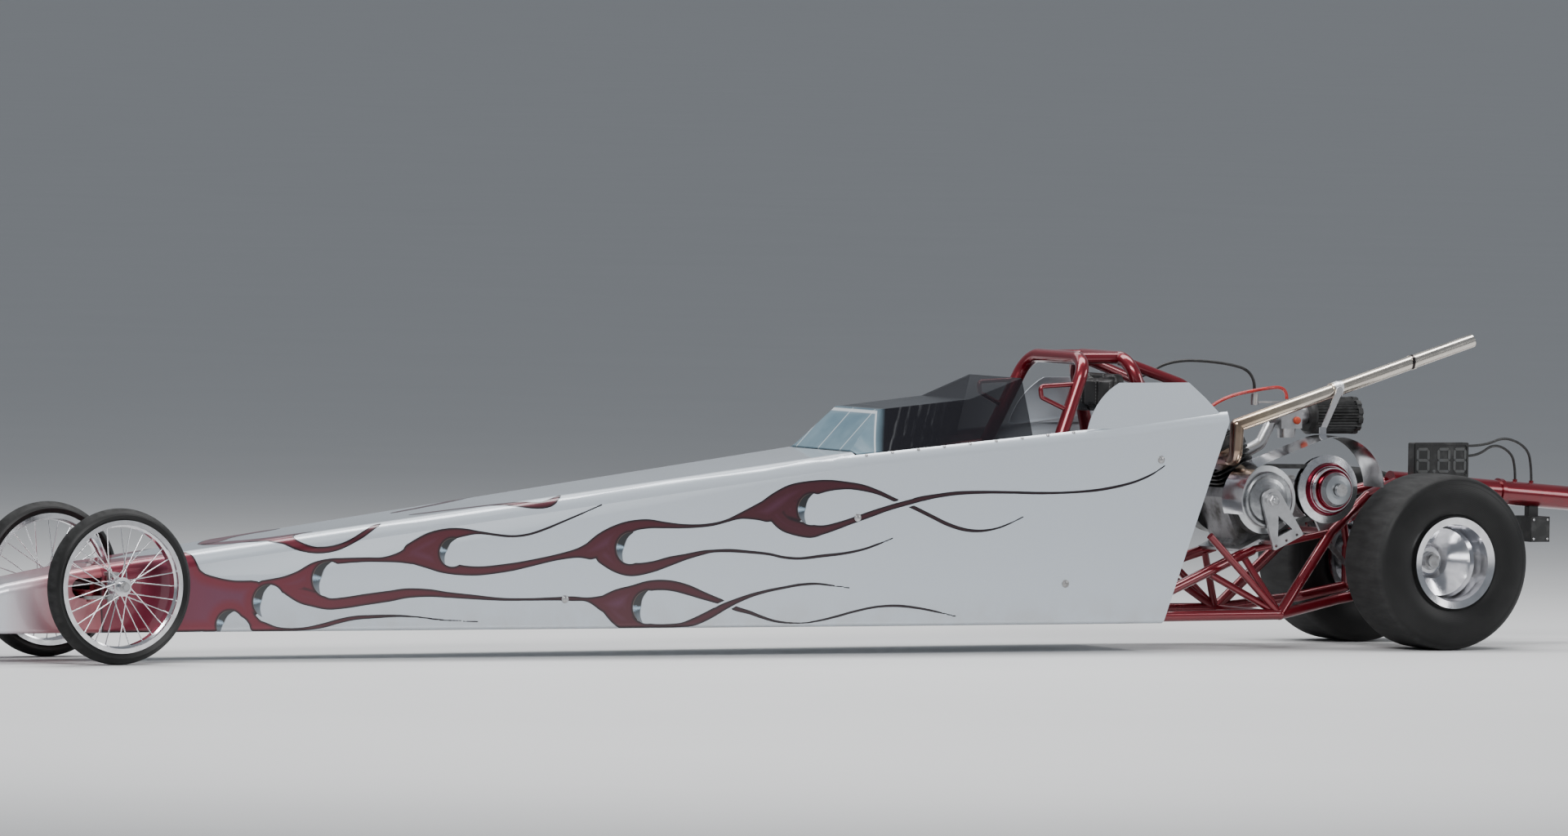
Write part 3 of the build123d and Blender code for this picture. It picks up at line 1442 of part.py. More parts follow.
# Brake caliper over the front of the disc
with BuildPart() as brake_caliper:
    with BuildSketch(side_plane(brake_y + 22)) as caliper_outline:
        with Locations((rear_axle_x - 78, rear_axle_z + 28)):
            RectangleRounded(46, 74, 12)
    extrude(caliper_outline.sketch, amount=44)
    with Locations((rear_axle_x - 59.5, (brake_y - 22 - carrier_y + carrier_wall / 2) / 2, rear_axle_z + 40)):
        Box(11, carrier_y - carrier_wall / 2 + brake_y - 22 + 8, 30)
    with BuildSketch(side_plane(brake_y + disc_wall / 2 + 1.2)) as disc_slot:
        with Locations((rear_axle_x, rear_axle_z)):
            Circle(brake_disc_radius + 4)
    extrude(disc_slot.sketch, amount=disc_wall + 2.4, mode=Mode.SUBTRACT)
    with BuildSketch(side_plane(-carrier_y + carrier_wall / 2 + seat_gap)) as carrier_face:
        with Locations((rear_axle_x - 60, rear_axle_z)):
            Rectangle(200, 200)
    extrude(carrier_face.sketch, amount=40, mode=Mode.SUBTRACT)
brake_caliper.part.label = "brake_caliper"
export_step(brake_caliper.part, "parts/brake_caliper.step")

# Bearing carriers of the rear axle, bolted behind the frame's rear uprights
with BuildPart() as axle_carriers:
    for side in (-1, 1):
        with BuildSketch(side_plane(side * carrier_y + carrier_wall / 2)) as carrier:
            with Locations((rear_axle_x - 25, rear_axle_z)):
                RectangleRounded(82, 120, 12)
            with Locations((rear_axle_x, rear_axle_z)):
                Circle(46)
                Circle(axle_fit, mode=Mode.SUBTRACT)
        extrude(carrier.sketch, amount=carrier_wall)
    add(rear_frame.part, mode=Mode.SUBTRACT)
axle_carriers.part.label = "axle_carriers"
export_step(axle_carriers.part, "parts/axle_carriers.step")

# Rear wheels: spun rim, deep cone dish and hub in one piece, and the slick on it
rim_edge = rear_rim_width / 2
dish_front = rim_edge - dish_depth
dish_back = rim_edge - hub_depth
for side, name in ((-1, "left"), (1, "right")):
    centre = (rear_axle_x, side * rear_wheel_y, rear_axle_z)
    section_plane = wheel_plane(*centre, side)
    wheel_axis = Axis(centre, (0, side, 0))
    with BuildPart() as rear_wheel:
        with BuildSketch(section_plane) as barrel:
            with BuildLine():
                Polyline(
                    (-rim_edge + 2, rear_rim_radius - 2),
                    (-rim_edge + 6, rear_bead_radius),
                    (-70, rear_bead_radius - 2),
                    (-60, rear_bead_radius - 13),
                    (dish_front - 14, rear_bead_radius - 13),
                    (dish_front, rear_bead_radius - 8),
                    (66, rear_bead_radius - 3),
                    (rim_edge - 6, rear_bead_radius),
                    (rim_edge - 2, rear_rim_radius - 2),
                )
            trace(line_width=4)
        revolve(barrel.sketch, axis=wheel_axis)
        with BuildSketch(section_plane) as dish:
            with BuildLine():
                Polyline((dish_front - 14, rear_bead_radius - 13), (dish_back + 4, 38), (dish_back - 6, 26))
            trace(line_width=5)
        revolve(dish.sketch, axis=wheel_axis)
        hub_start = wheel_seat - rear_wheel_y
        hub_profile = [
            (hub_start, axle_fit), (hub_start, 40), (hub_start + hub_wall, 32), (hub_start + hub_wall, axle_fit)]
        with BuildSketch(section_plane) as hub_face:
            with BuildLine():
                Polyline(*hub_profile, close=True)
            make_face()
        revolve(hub_face.sketch, axis=wheel_axis)
    rear_wheel.part.label = f"rear_wheel_{name}"
    export_step(rear_wheel.part, f"parts/rear_wheel_{name}.step")

    with BuildPart() as rear_tyre:
        slick_half = slick_width / 2
        bead_half = rim_edge - 10
        tread_half = slick_half - slick_shoulder + 4
        with BuildSketch(section_plane) as slick_section:
            with BuildLine():
                base = Polyline(
                    (-bead_half, rear_rim_radius + 2),
                    (-bead_half, rear_bead_radius + 2 + seat_gap),
                    (bead_half, rear_bead_radius + 2 + seat_gap),
                    (bead_half, rear_rim_radius + 2),
                )
                far_wall = ThreePointArc(base @ 1, (slick_half, 160), (slick_half - 5, 203))
                near_wall = ThreePointArc(base @ 0, (-slick_half, 160), (-slick_half + 5, 203))
                far_shoulder = ThreePointArc(far_wall @ 1, (slick_half - 13, 219), (tread_half, slick_radius - 1.5))
                near_shoulder = ThreePointArc(
                    near_wall @ 1, (-slick_half + 13, 219), (-tread_half, slick_radius - 1.5))
                ThreePointArc(near_shoulder @ 1, (0, slick_radius), far_shoulder @ 1)
            make_face()
        revolve(slick_section.sketch, axis=wheel_axis)
    rear_tyre.part.label = f"rear_tyre_{name}"
    export_step(rear_tyre.part, f"parts/rear_tyre_{name}.step")

# Tail boom of the wheelie bar, with its inner tube, down leg and axle
tail_axle_station = wheelbase + tail_overhang - tail_wheel_radius
boom_end_station = tail_axle_station - 106.0
leg_station = tail_axle_station - 6.0
boom_clamp_station = wheelbase + 318.0
wire_gland_stations = (wheelbase + 373.0, wheelbase + 423.0)
gland_radius = 6.0
gland_height = 6.0


def boom_z(distance):
    """Centre height of the tail boom at a station."""
    return boom_front_height - boom_drop * (distance - boom_front_station)


tail_axle_z = tail_wheel_radius + tail_wheel_lift
with BuildPart() as tail_boom:
    tube(
        (station(boom_front_station), 0, boom_front_height),
        (station(boom_end_station), 0, boom_z(boom_end_station)),
        boom_radius,
    )
    bent_tube(
        [
            (station(boom_end_station - 60), 0, boom_z(boom_end_station - 60)),
            (station(leg_station), 0, boom_z(leg_station)),
            (station(tail_axle_station), 0, tail_axle_z),
        ],
        50.0, 16.0)
    tube(
        (station(tail_axle_station), -tail_wheel_y - tail_wheel_width, tail_axle_z),
        (station(tail_axle_station), tail_wheel_y + tail_wheel_width, tail_axle_z),
        8.0,
    )
    clamp_ends = [(station(d), 0, boom_z(d)) for d in (boom_clamp_station, boom_clamp_station + 12)]
    tube(*clamp_ends, boom_radius + 5)
    for d in wire_gland_stations:
        gland_top = boom_z(d) + boom_radius + gland_height
        tube((station(d), 0, gland_top - 12), (station(d), 0, gland_top), gland_radius)
    add(rear_frame.part, mode=Mode.SUBTRACT)
tail_boom.part.label = "tail_boom"
export_step(tail_boom.part, "parts/tail_boom.step")

for side, name in ((-1, "left"), (1, "right")):
    with BuildPart() as tail_wheel:
        half = tail_wheel_width / 2
        profile = [
            (-half, 8 + running_clearance), (-half, 18), (-half + 6, 20), (-half + 6, 30), (-half, 32),
            (-half, tail_wheel_radius - 5), (-half + 5, tail_wheel_radius), (half - 5, tail_wheel_radius),
            (half, tail_wheel_radius - 5), (half, 32), (half - 6, 30), (half - 6, 20), (half, 18),
            (half, 8 + running_clearance),
        ]
        revolved(profile, (station(tail_axle_station), side * tail_wheel_y, tail_axle_z), side)
    tail_wheel.part.label = f"tail_wheel_{name}"
    export_step(tail_wheel.part, f"parts/tail_wheel_{name}.step")

# Dial-in board on its post, and the black control box under the boom
board_front = wheelbase + 27.0
board_length = 166.0
board_bottom = 437.0
board_height = 92.0
board_y = -60.0
board_wall = 30.0
board_back = board_front + board_length
wire_socket_y = board_y + board_wall / 2
wire_socket_heights = (494.0, 520.0)
with BuildPart() as dial_board:
    with BuildSketch(side_plane(board_y + board_wall)) as board_outline:
        with Locations((station(board_front + board_length / 2), board_bottom + board_height / 2)):
            RectangleRounded(board_length, board_height, 4)
    extrude(board_outline.sketch, amount=board_wall)
    board_post_station = board_front + board_length / 2
    board_post_z = boom_z(board_post_station) + boom_radius + 12
    with Locations((station(board_post_station), board_y + board_wall + 10, board_post_z)):
        Box(60, 20, 66)
    add(tail_boom.part, mode=Mode.SUBTRACT)
    for z in wire_socket_heights:
        tube((station(board_back - 4), wire_socket_y, z), (station(board_back + 6), wire_socket_y, z), gland_radius)
dial_board.part.label = "dial_board"
export_step(dial_board.part, "parts/dial_board.step")

with BuildPart() as control_box:
    box_station = wheelbase + 425.0
    with Locations((station(box_station), 0, 300)):
        Box(58, 96, 66)
    with Locations((station(box_station), 0, (boom_z(box_station) + 333) / 2)):
        Box(30, 24, boom_z(box_station) - 333)
    fillet(control_box.edges().filter_by(Axis.Z), 3)
    add(tail_boom.part, mode=Mode.SUBTRACT)
control_box.part.label = "control_box"
export_step(control_box.part, "parts/control_box.step")

# Wires that arc from the dial-in board into the boom: inner, then outer
wire_radius = 3.5
wire_bends = (
    ("board_wire_front", [(31, 0, 0), (86, 8, 32), (156, 35, 6)]),
    ("board_wire_rear", [(51, 0, 0), (121, 10, 24), (206, 34, -8)]),
)
for (name, bends), socket_z, d in zip(wire_bends, wire_socket_heights, wire_gland_stations):
    gland_top = boom_z(d) + boom_radius + gland_height
    wire_start = (board_back + 6, wire_socket_y, socket_z)
    with BuildPart() as board_wire:
        bend_points = [(wire_start[0] + x, wire_start[1] + y, wire_start[2] + z) for x, y, z in bends]
        wire_route = [wire_start, *bend_points, (d, 0, gland_top + 30), (d, 0, gland_top)]
        hose(mirrored(wire_route, 1), wire_radius)
    board_wire.part.label = name
    export_step(board_wire.part, f"parts/{name}.step")

# Fuel line from the firewall's fitting over the head to the carburettor
fuel_start = firewall_plane.from_local_coords((*fuel_fitting_at, firewall_wall + hose_fitting_length))
fuel_bend = firewall_plane.from_local_coords((*fuel_fitting_at, firewall_wall + hose_fitting_length + 38))
with BuildPart() as fuel_line:
    fuel_route = [
        tuple(fuel_start),
        tuple(fuel_bend),
        (station(crank_station - 130), 14, 575),
        (station(crank_station - 55), -2, 645),
        (station(crank_station + 50), -46, 672),
        (carb_x, intake_y, carb_z + fuel_barb_top + 32),
        (carb_x, intake_y, carb_z + fuel_barb_top),
    ]
    hose(fuel_route, 4.5)
fuel_line.part.label = "fuel_line"
export_step(fuel_line.part, "parts/fuel_line.step")

# Vent hose from its valve to the peg on the cage's brace
with BuildPart() as vent_hose:
    peg_x = station(vent_peg[0])
    vent_route = [
        (vent_valve_x, intake_y, carb_z + vent_valve_top),
        (vent_valve_x, intake_y, carb_z + vent_valve_top + 44),
        (vent_valve_x - 76, 20, 738),
        (peg_x + 90, 56, 744),
        (peg_x, 58, vent_peg[2]),
        (peg_x, vent_peg[1], vent_peg[2]),
    ]
    hose(vent_route, 4.0)
vent_hose.part.label = "vent_hose"
export_step(vent_hose.part, "parts/vent_hose.step")
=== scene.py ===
"""Half-scale rear-engined drag racing car: paint, polished metal, flames, padding, fasteners and stage."""

import json
import math

import bmesh
import bpy
from mathutils import Matrix, Vector


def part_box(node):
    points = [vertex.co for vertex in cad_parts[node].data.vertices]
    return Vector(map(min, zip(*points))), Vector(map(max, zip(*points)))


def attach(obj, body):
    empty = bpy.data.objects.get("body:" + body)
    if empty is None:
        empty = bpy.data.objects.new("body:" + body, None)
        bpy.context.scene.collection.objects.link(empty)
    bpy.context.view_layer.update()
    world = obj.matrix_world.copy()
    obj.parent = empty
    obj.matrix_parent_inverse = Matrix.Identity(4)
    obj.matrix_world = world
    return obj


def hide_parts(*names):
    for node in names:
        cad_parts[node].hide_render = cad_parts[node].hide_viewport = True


bl_info = {
    "name": "Half-scale drag racing car",
    "version": (1, 0, 0),
    "blender": (4, 5, 0),
    "location": "View3D > Sidebar > Race car",
    "description": "Dresses the packed race car with its finishes, flames, padding and small fittings",
    "category": "Object",
}

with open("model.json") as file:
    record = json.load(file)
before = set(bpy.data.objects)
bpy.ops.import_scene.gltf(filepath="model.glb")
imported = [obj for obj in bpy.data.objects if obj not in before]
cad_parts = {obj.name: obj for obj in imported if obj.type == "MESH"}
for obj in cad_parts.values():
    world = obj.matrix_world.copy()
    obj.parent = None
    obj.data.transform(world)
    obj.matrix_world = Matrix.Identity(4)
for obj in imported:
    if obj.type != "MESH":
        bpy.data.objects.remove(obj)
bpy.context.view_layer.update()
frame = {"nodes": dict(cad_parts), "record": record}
nodes = frame["nodes"]

FRONT_AXLE_X = -2.075
CHASSIS = "chassis"


# Shader maths

NOISE_ROUGHNESS = 0.55


class Wire:
    """An output socket that takes part in Python expressions."""

    def __init__(self, finish, socket):
        self.finish = finish
        self.socket = socket

    def __add__(self, other):
        return self.finish.maths("ADD", self, other)

    def __radd__(self, other):
        return self.finish.maths("ADD", other, self)

    def __sub__(self, other):
        return self.finish.maths("SUBTRACT", self, other)

    def __rsub__(self, other):
        return self.finish.maths("SUBTRACT", other, self)

    def __mul__(self, other):
        return self.finish.maths("MULTIPLY", self, other)

    def __rmul__(self, other):
        return self.finish.maths("MULTIPLY", other, self)


class Finish:
    """A procedural material built round one surface shader."""

    def __init__(self, name):
        self.material = bpy.data.materials.new(name)
        self.material.use_nodes = True
        self.tree = self.material.node_tree
        self.tree.nodes.clear()

    def node(self, kind, settings=None, inputs=None, output=0):
        """Adds any node: its settings go first, then its sockets by name or number."""
        made = self.tree.nodes.new(kind)
        for key, value in (settings or {}).items():
            if key == "stops":
                ramp = made.color_ramp
                while len(ramp.elements) < len(value):
                    ramp.elements.new(1.0)
                for element, (place, colour) in zip(ramp.elements, value):
                    element.position = place
                    element.color = (*colour, 1.0)
            else:
                setattr(made, key, value)
        for key, value in (inputs or {}).items():
            self.put(made.inputs[key], value)
        return Wire(self, made.outputs[output]) if made.outputs else None

    def put(self, socket, value):
        """Sets a socket to a number or colour, or links a wire to it."""
        if isinstance(value, Wire):
            self.tree.links.new(value.socket, socket)
        elif isinstance(value, (tuple, list)) and socket.type == "RGBA":
            socket.default_value = (*value[:3], 1.0)
        else:
            socket.default_value = value

    def maths(self, operation, a, b=0.0):
        return self.node("ShaderNodeMath", {"operation": operation}, {0: a, 1: b})

    def place(self, part=None):
        """Coordinates in the car's own frame, in metres, or one of X, Y and Z alone."""
        where = self.node("ShaderNodeTexCoord", output="Object")
        if part is None:
            return where
        return self.node("ShaderNodeSeparateXYZ", None, {0: where}, output=part)

    def scaled(self, factors):
        """The place, stretched along each axis."""
        return self.node("ShaderNodeMapping", None, {"Vector": self.place(), "Scale": factors})

    def noise(self, scale, detail=3.0, where=None):
        where = self.place() if where is None else where
        return self.node(
            "ShaderNodeTexNoise", None,
            {"Vector": where, "Scale": scale, "Detail": detail, "Roughness": NOISE_ROUGHNESS})

    def cells(self, scale, feature="F1"):
        return self.node(
            "ShaderNodeTexVoronoi", {"feature": feature}, {"Vector": self.place(), "Scale": scale},
            output="Distance")

    def ramp(self, factor, stops):
        return self.node("ShaderNodeValToRGB", {"stops": stops}, {"Fac": factor})

    def remap(self, value, low, high, to_low=0.0, to_high=1.0):
        return self.node(
            "ShaderNodeMapRange", {"clamp": True},
            {"Value": value, "From Min": low, "From Max": high, "To Min": to_low, "To Max": to_high})

    def blend(self, factor, a, b):
        """Mixes two colours, which go into the node's sockets 6 and 7."""
        return self.node("ShaderNodeMix", {"data_type": "RGBA"}, {"Factor": factor, 6: a, 7: b}, output=2)

    def between(self, value, low, high, a, b):
        """A colour that goes from a to b while the value goes from low to high."""
        return self.blend(self.remap(value, low, high), a, b)

    def band(self, value, low, high, edge):
        """One between two values, falling to nothing over a soft edge inside each."""
        return self.remap(value, low, low + edge) * self.remap(value, high, high - edge)

    def relief(self, height, depth, strength):
        """A bumped normal from a height between 0 and 1."""
        return self.node(
            "ShaderNodeBump", None, {"Strength": strength, "Distance": depth, "Height": height})

    def orange_peel(self, strength):
        """The slight waves of sprayed paint."""
        return self.relief(self.noise(90.0, 2.0), 0.0006, strength)

    def radius_about(self, x, z):
        """Distance in metres from an axle that runs across the car."""
        dx = self.place("X") - x
        dz = self.place("Z") - z
        return self.maths("SQRT", dx * dx + dz * dz)

    def surface(self, **sockets):
        """Finishes the material with the main shader; names use _ for spaces."""
        inputs = {key.replace("_", " "): value for key, value in sockets.items()}
        shader = self.node("ShaderNodeBsdfPrincipled", None, inputs)
        self.node("ShaderNodeOutputMaterial", None, {"Surface": shader})
        return self.material


def grey(value):
    return (value, value, value)


def middle_of(name):
    """The middle of a node's box."""
    low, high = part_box(name)
    return (low + high) / 2


# Finishes of the metal, paint and rubber

# Where dust starts and is thickest above the floor, and where the engine's grime does along the car
SILL_DUST = (0.16, 0.07)
ENGINE_GRIME = (1.0, 1.5)
# Where the nose's candy fades in, and the run over which the flames darken
NOSE_FADE = (-2.44, -2.05)
FLAME_RUN = (-2.05, -0.20)
# How far the stitches lie from their seam, and their turns in each metre
STITCH_OFFSET = 0.0075
STITCH_TURNS = 780.0


def pearl_paint():
    finish = Finish("pearl paint")
    flake = finish.noise(2600.0, 1.0)
    drift = finish.noise(3.0, 3.0)
    tint = finish.between(flake, 0.35, 0.75, (0.50, 0.55, 0.60), (0.66, 0.70, 0.75))
    tint = finish.blend(finish.remap(drift, 0.3, 0.7) * 0.18, tint, (0.46, 0.52, 0.59))
    dust = finish.remap(finish.place("Z"), *SILL_DUST) * finish.remap(finish.noise(18.0), 0.35, 0.7)
    tint = finish.blend(dust * 0.35, tint, (0.42, 0.40, 0.37))
    return finish.surface(
        Base_Color=tint, Metallic=0.35, Roughness=finish.remap(drift, 0.2, 0.8, 0.30, 0.40),
        Coat_Weight=1.0, Coat_Roughness=0.04, Normal=finish.orange_peel(0.12))


def candy_red():
    finish = Finish("candy red")
    flake = finish.noise(3200.0, 1.0)
    drift = finish.noise(9.0, 3.0)
    tint = finish.between(flake, 0.35, 0.75, (0.12, 0.001, 0.007), (0.25, 0.003, 0.015))
    tint = finish.blend(finish.remap(drift, 0.35, 0.75) * 0.3, tint, (0.10, 0.001, 0.006))
    grime = finish.remap(finish.noise(28.0, 4.0), 0.55, 0.75) * finish.remap(finish.place("X"), *ENGINE_GRIME)
    tint = finish.blend(grime * 0.5, tint, (0.05, 0.012, 0.012))
    return finish.surface(
        Base_Color=tint, Metallic=0.55, Roughness=finish.remap(drift, 0.2, 0.8, 0.24, 0.36),
        Coat_Weight=1.0, Coat_Roughness=0.05, Normal=finish.relief(finish.noise(160.0, 2.0), 0.0004, 0.10))


def polished_aluminium():
    finish = Finish("polished aluminium")
    smudge = finish.noise(26.0, 4.0)
    scratch = finish.noise(900.0, 2.0, where=finish.scaled((0.12, 1.0, 1.0)))
    tint = finish.between(smudge, 0.35, 0.75, (0.82, 0.82, 0.84), (0.60, 0.60, 0.62))
    rough = finish.remap(smudge, 0.3, 0.75, 0.07, 0.20) + finish.remap(scratch, 0.5, 0.8, 0.0, 0.08)
    return finish.surface(
        Base_Color=tint, Metallic=1.0, Roughness=rough, Normal=finish.relief(scratch, 0.0002, 0.10))


def satin_aluminium():
    finish = Finish("satin aluminium")
    grain = finish.noise(1400.0, 2.0, where=finish.scaled((1.0, 1.0, 0.15)))
    smudge = finish.noise(30.0, 4.0)
    tint = finish.between(smudge, 0.35, 0.75, (0.56, 0.56, 0.57), (0.36, 0.36, 0.37))
    return finish.surface(
        Base_Color=tint, Metallic=1.0, Roughness=finish.remap(smudge, 0.3, 0.75, 0.30, 0.46),
        Normal=finish.relief(grain, 0.0003, 0.14))


def red_anodised():
    finish = Finish("red anodised")
    grain = finish.noise(1200.0, 2.0)
    smudge = finish.noise(40.0, 3.0)
    tint = finish.between(smudge, 0.35, 0.7, (0.42, 0.02, 0.045), (0.27, 0.012, 0.03))
    return finish.surface(
        Base_Color=tint, Metallic=0.9, Roughness=finish.remap(smudge, 0.3, 0.7, 0.24, 0.36),
        Normal=finish.relief(grain, 0.0002, 0.1))


# Where the exhaust pipe's heat colours, its clamp and its dark joint lie along the car
PIPE_RUN = (1.17, 1.93)
PIPE_CLAMP = (1.470, 1.498)
PIPE_JOINT = (1.702, 1.712)


def stainless():
    """Polished pipe with heat colours at its start, a bright clamp and a sooty joint."""
    finish = Finish("polished stainless")
    along = finish.place("X")
    heat = finish.ramp(finish.remap(along + finish.noise(14.0, 3.0) * 0.05, *PIPE_RUN), [
        (0.0, (0.30, 0.25, 0.30)), (0.05, (0.38, 0.27, 0.20)), (0.14, (0.62, 0.50, 0.36)),
        (0.34, (0.68, 0.61, 0.52)), (1.0, (0.70, 0.66, 0.60))])
    streak = finish.noise(700.0, 2.0, where=finish.scaled((0.05, 1.0, 1.0)))
    smudge = finish.noise(20.0, 4.0)
    tint = finish.blend(finish.remap(smudge, 0.45, 0.8) * 0.3, heat, (0.34, 0.31, 0.28))
    clamp = finish.band(along, *PIPE_CLAMP, 0.002)
    tint = finish.blend(clamp, tint, (0.82, 0.82, 0.83))
    soot = finish.band(along, *PIPE_JOINT, 0.002)
    tint = finish.blend(soot, tint, (0.06, 0.05, 0.05))
    return finish.surface(
        Base_Color=tint, Metallic=1.0, Roughness=finish.remap(smudge, 0.3, 0.75, 0.16, 0.30) + clamp * 0.15,
        Normal=finish.relief(streak, 0.0002, 0.08))


def machined_steel():
    finish = Finish("machined steel")
    grain = finish.noise(1600.0, 2.0)
    smudge = finish.noise(45.0, 4.0)
    tint = finish.between(smudge, 0.4, 0.75, (0.52, 0.52, 0.53), (0.26, 0.25, 0.24))
    return finish.surface(
        Base_Color=tint, Metallic=1.0, Roughness=finish.remap(smudge, 0.3, 0.7, 0.28, 0.46),
        Normal=finish.relief(grain, 0.0003, 0.15))


def black_paint():
    finish = Finish("black paint")
    dust = finish.noise(34.0, 5.0)
    tint = finish.between(dust, 0.5, 0.8, (0.012, 0.012, 0.013), (0.06, 0.055, 0.05))
    return finish.surface(
        Base_Color=tint, Roughness=finish.remap(dust, 0.3, 0.75, 0.34, 0.58),
        Normal=finish.relief(finish.noise(420.0, 3.0), 0.0005, 0.25))


def engine_casting():
    finish = Finish("engine casting")
    grain = finish.noise(520.0, 4.0)
    soot = finish.noise(22.0, 5.0)
    tint = finish.between(soot, 0.42, 0.72, (0.34, 0.34, 0.35), (0.08, 0.075, 0.07))
    return finish.surface(
        Base_Color=tint, Metallic=0.85, Roughness=finish.remap(grain, 0.3, 0.7, 0.42, 0.60),
        Normal=finish.relief(grain, 0.0008, 0.35))


TYRE_WALL = grey(0.007)
TREAD = grey(0.012)
REAR_TREAD = grey(0.020)


def tyre_rubber(name, middle, tread_radius, tread_tint):
    """Rubber whose tread is scuffed and whose walls keep a sheen, about one axle."""
    finish = Finish(name)
    radius = finish.radius_about(middle.x, middle.z)
    tread = finish.remap(radius, tread_radius - 0.012, tread_radius - 0.003)
    scuff = finish.noise(60.0, 5.0, where=finish.scaled((1.0, 0.25, 1.0)))
    rings = finish.maths("SINE", radius * 1900.0) * 0.5 + 0.5
    dust = finish.noise(9.0, 4.0)
    wall = finish.blend(finish.remap(dust, 0.45, 0.8) * 0.6, TYRE_WALL, grey(0.018))
    run = finish.between(scuff, 0.35, 0.7, tread_tint, grey(0.036))
    tint = finish.blend(tread, wall, run)
    height = rings * 0.4 * (1.0 - tread) + scuff * tread + finish.noise(900.0, 2.0) * 0.3
    return finish.surface(
        Base_Color=tint, Roughness=finish.remap(tread + dust * 0.2, 0.0, 1.1, 0.42, 0.78),
        Specular_IOR_Level=0.28, Normal=finish.relief(height, 0.0006, 0.45))


def belt_rubber():
    finish = Finish("belt rubber")
    dust = finish.noise(60.0, 4.0)
    tint = finish.between(dust, 0.45, 0.8, grey(0.014), grey(0.07))
    return finish.surface(
        Base_Color=tint, Roughness=finish.remap(dust, 0.3, 0.7, 0.55, 0.8),
        Normal=finish.relief(finish.noise(1300.0, 2.0), 0.0005, 0.4))


# The fold between the screen's front and side panes: how far back it leans for its height, and its start
FOLD_LEAN = 0.42
FOLD_START = -0.136
# How far back the streaks behind the fold lean for their height
STREAK_LEAN = 0.60


def smoked_screen():
    """Smoked acrylic, nearly black behind the fold, with a painted sky reflection and painted highlights on
    its front panes.
    """
    finish = Finish("smoked screen")
    slant = finish.place("X") - finish.place("Z") * FOLD_LEAN
    along = finish.remap(slant, FOLD_START - 0.004, FOLD_START + 0.024)
    haze = finish.noise(7.0, 3.0)
    # Painted highlight lines across the front panes, where the peaks of a sine fall
    painted_highlight_lines = finish.maths("SINE", finish.place("Y") * 55.0 + 0.6)
    # Painted highlight along the fold between the front and side panes
    rim = finish.remap(finish.maths("ABSOLUTE", slant - FOLD_START), 0.0028, 0.0012)
    # Pale blue-grey of the front panes: a painted reflection of the sky, with the painted highlight lines
    # over it
    pale = finish.between(haze, 0.35, 0.7, (0.13, 0.20, 0.25), (0.21, 0.30, 0.35))
    pale = finish.blend(finish.remap(painted_highlight_lines, 0.985, 0.999) * 0.7, pale, (0.62, 0.66, 0.68))
    lean = finish.place("X") - finish.place("Z") * STREAK_LEAN
    stretched = finish.node("ShaderNodeCombineXYZ", None, {0: lean * 3.0, 1: haze * 0.1})
    fine = finish.noise(26.0, 4.0, where=stretched)
    faint = finish.remap(fine, 0.55, 0.70) * finish.remap(slant, 0.08, -0.12) * 0.22
    smoke = finish.blend(faint, (0.012, 0.012, 0.015), (0.30, 0.31, 0.32))
    # The painted fold highlight over the painted sky reflection in front and the smoked tint behind
    tint = finish.blend(rim * 0.8, finish.blend(along, pale, smoke), (0.66, 0.69, 0.71))
    see = finish.remap(along + haze * 0.15, 0.0, 1.1, 0.72, 0.90) - finish.remap(slant, 0.0, 0.26) * 0.32
    return finish.surface(
        Base_Color=tint, Roughness=finish.remap(haze, 0.3, 0.7, 0.10, 0.18), Alpha=see, IOR=1.18)


def black_plastic():
    finish = Finish("black plastic")
    dust = finish.noise(40.0, 4.0)
    tint = finish.between(dust, 0.5, 0.8, grey(0.012), grey(0.05))
    return finish.surface(
        Base_Color=tint, Roughness=finish.remap(dust, 0.3, 0.7, 0.40, 0.6),
        Normal=finish.relief(finish.cells(700.0), 0.0004, 0.3))


def pad_vinyl():
    finish = Finish("pad vinyl")
    grain = finish.cells(620.0, "SMOOTH_F1")
    wear = finish.noise(16.0, 4.0)
    tint = finish.between(wear, 0.4, 0.75, grey(0.013), grey(0.045))
    return finish.surface(
        Base_Color=tint, Roughness=finish.remap(wear, 0.3, 0.75, 0.38, 0.58),
        Normal=finish.relief(grain, 0.0007, 0.5))


def fuel_hose():
    """Glossy red hose with a faint weave under its skin."""
    finish = Finish("red fuel hose")
    weave = finish.cells(900.0)
    stain = finish.noise(50.0, 3.0)
    tint = finish.between(stain, 0.4, 0.75, (0.46, 0.020, 0.016), (0.27, 0.012, 0.012))
    return finish.surface(
        Base_Color=tint, Roughness=finish.remap(stain, 0.3, 0.7, 0.22, 0.36), Coat_Weight=0.4,
        Coat_Roughness=0.1, Normal=finish.relief(weave, 0.0003, 0.25))


def wire_cover():
    """Black rubber cover, dusty in patches."""
    finish = Finish("black wire cover")
    dust = finish.noise(70.0, 4.0)
    tint = finish.between(dust, 0.5, 0.8, grey(0.010), grey(0.045))
    return finish.surface(
        Base_Color=tint, Roughness=finish.remap(dust, 0.3, 0.7, 0.34, 0.52),
        Normal=finish.relief(finish.noise(700.0, 2.0), 0.0003, 0.25))


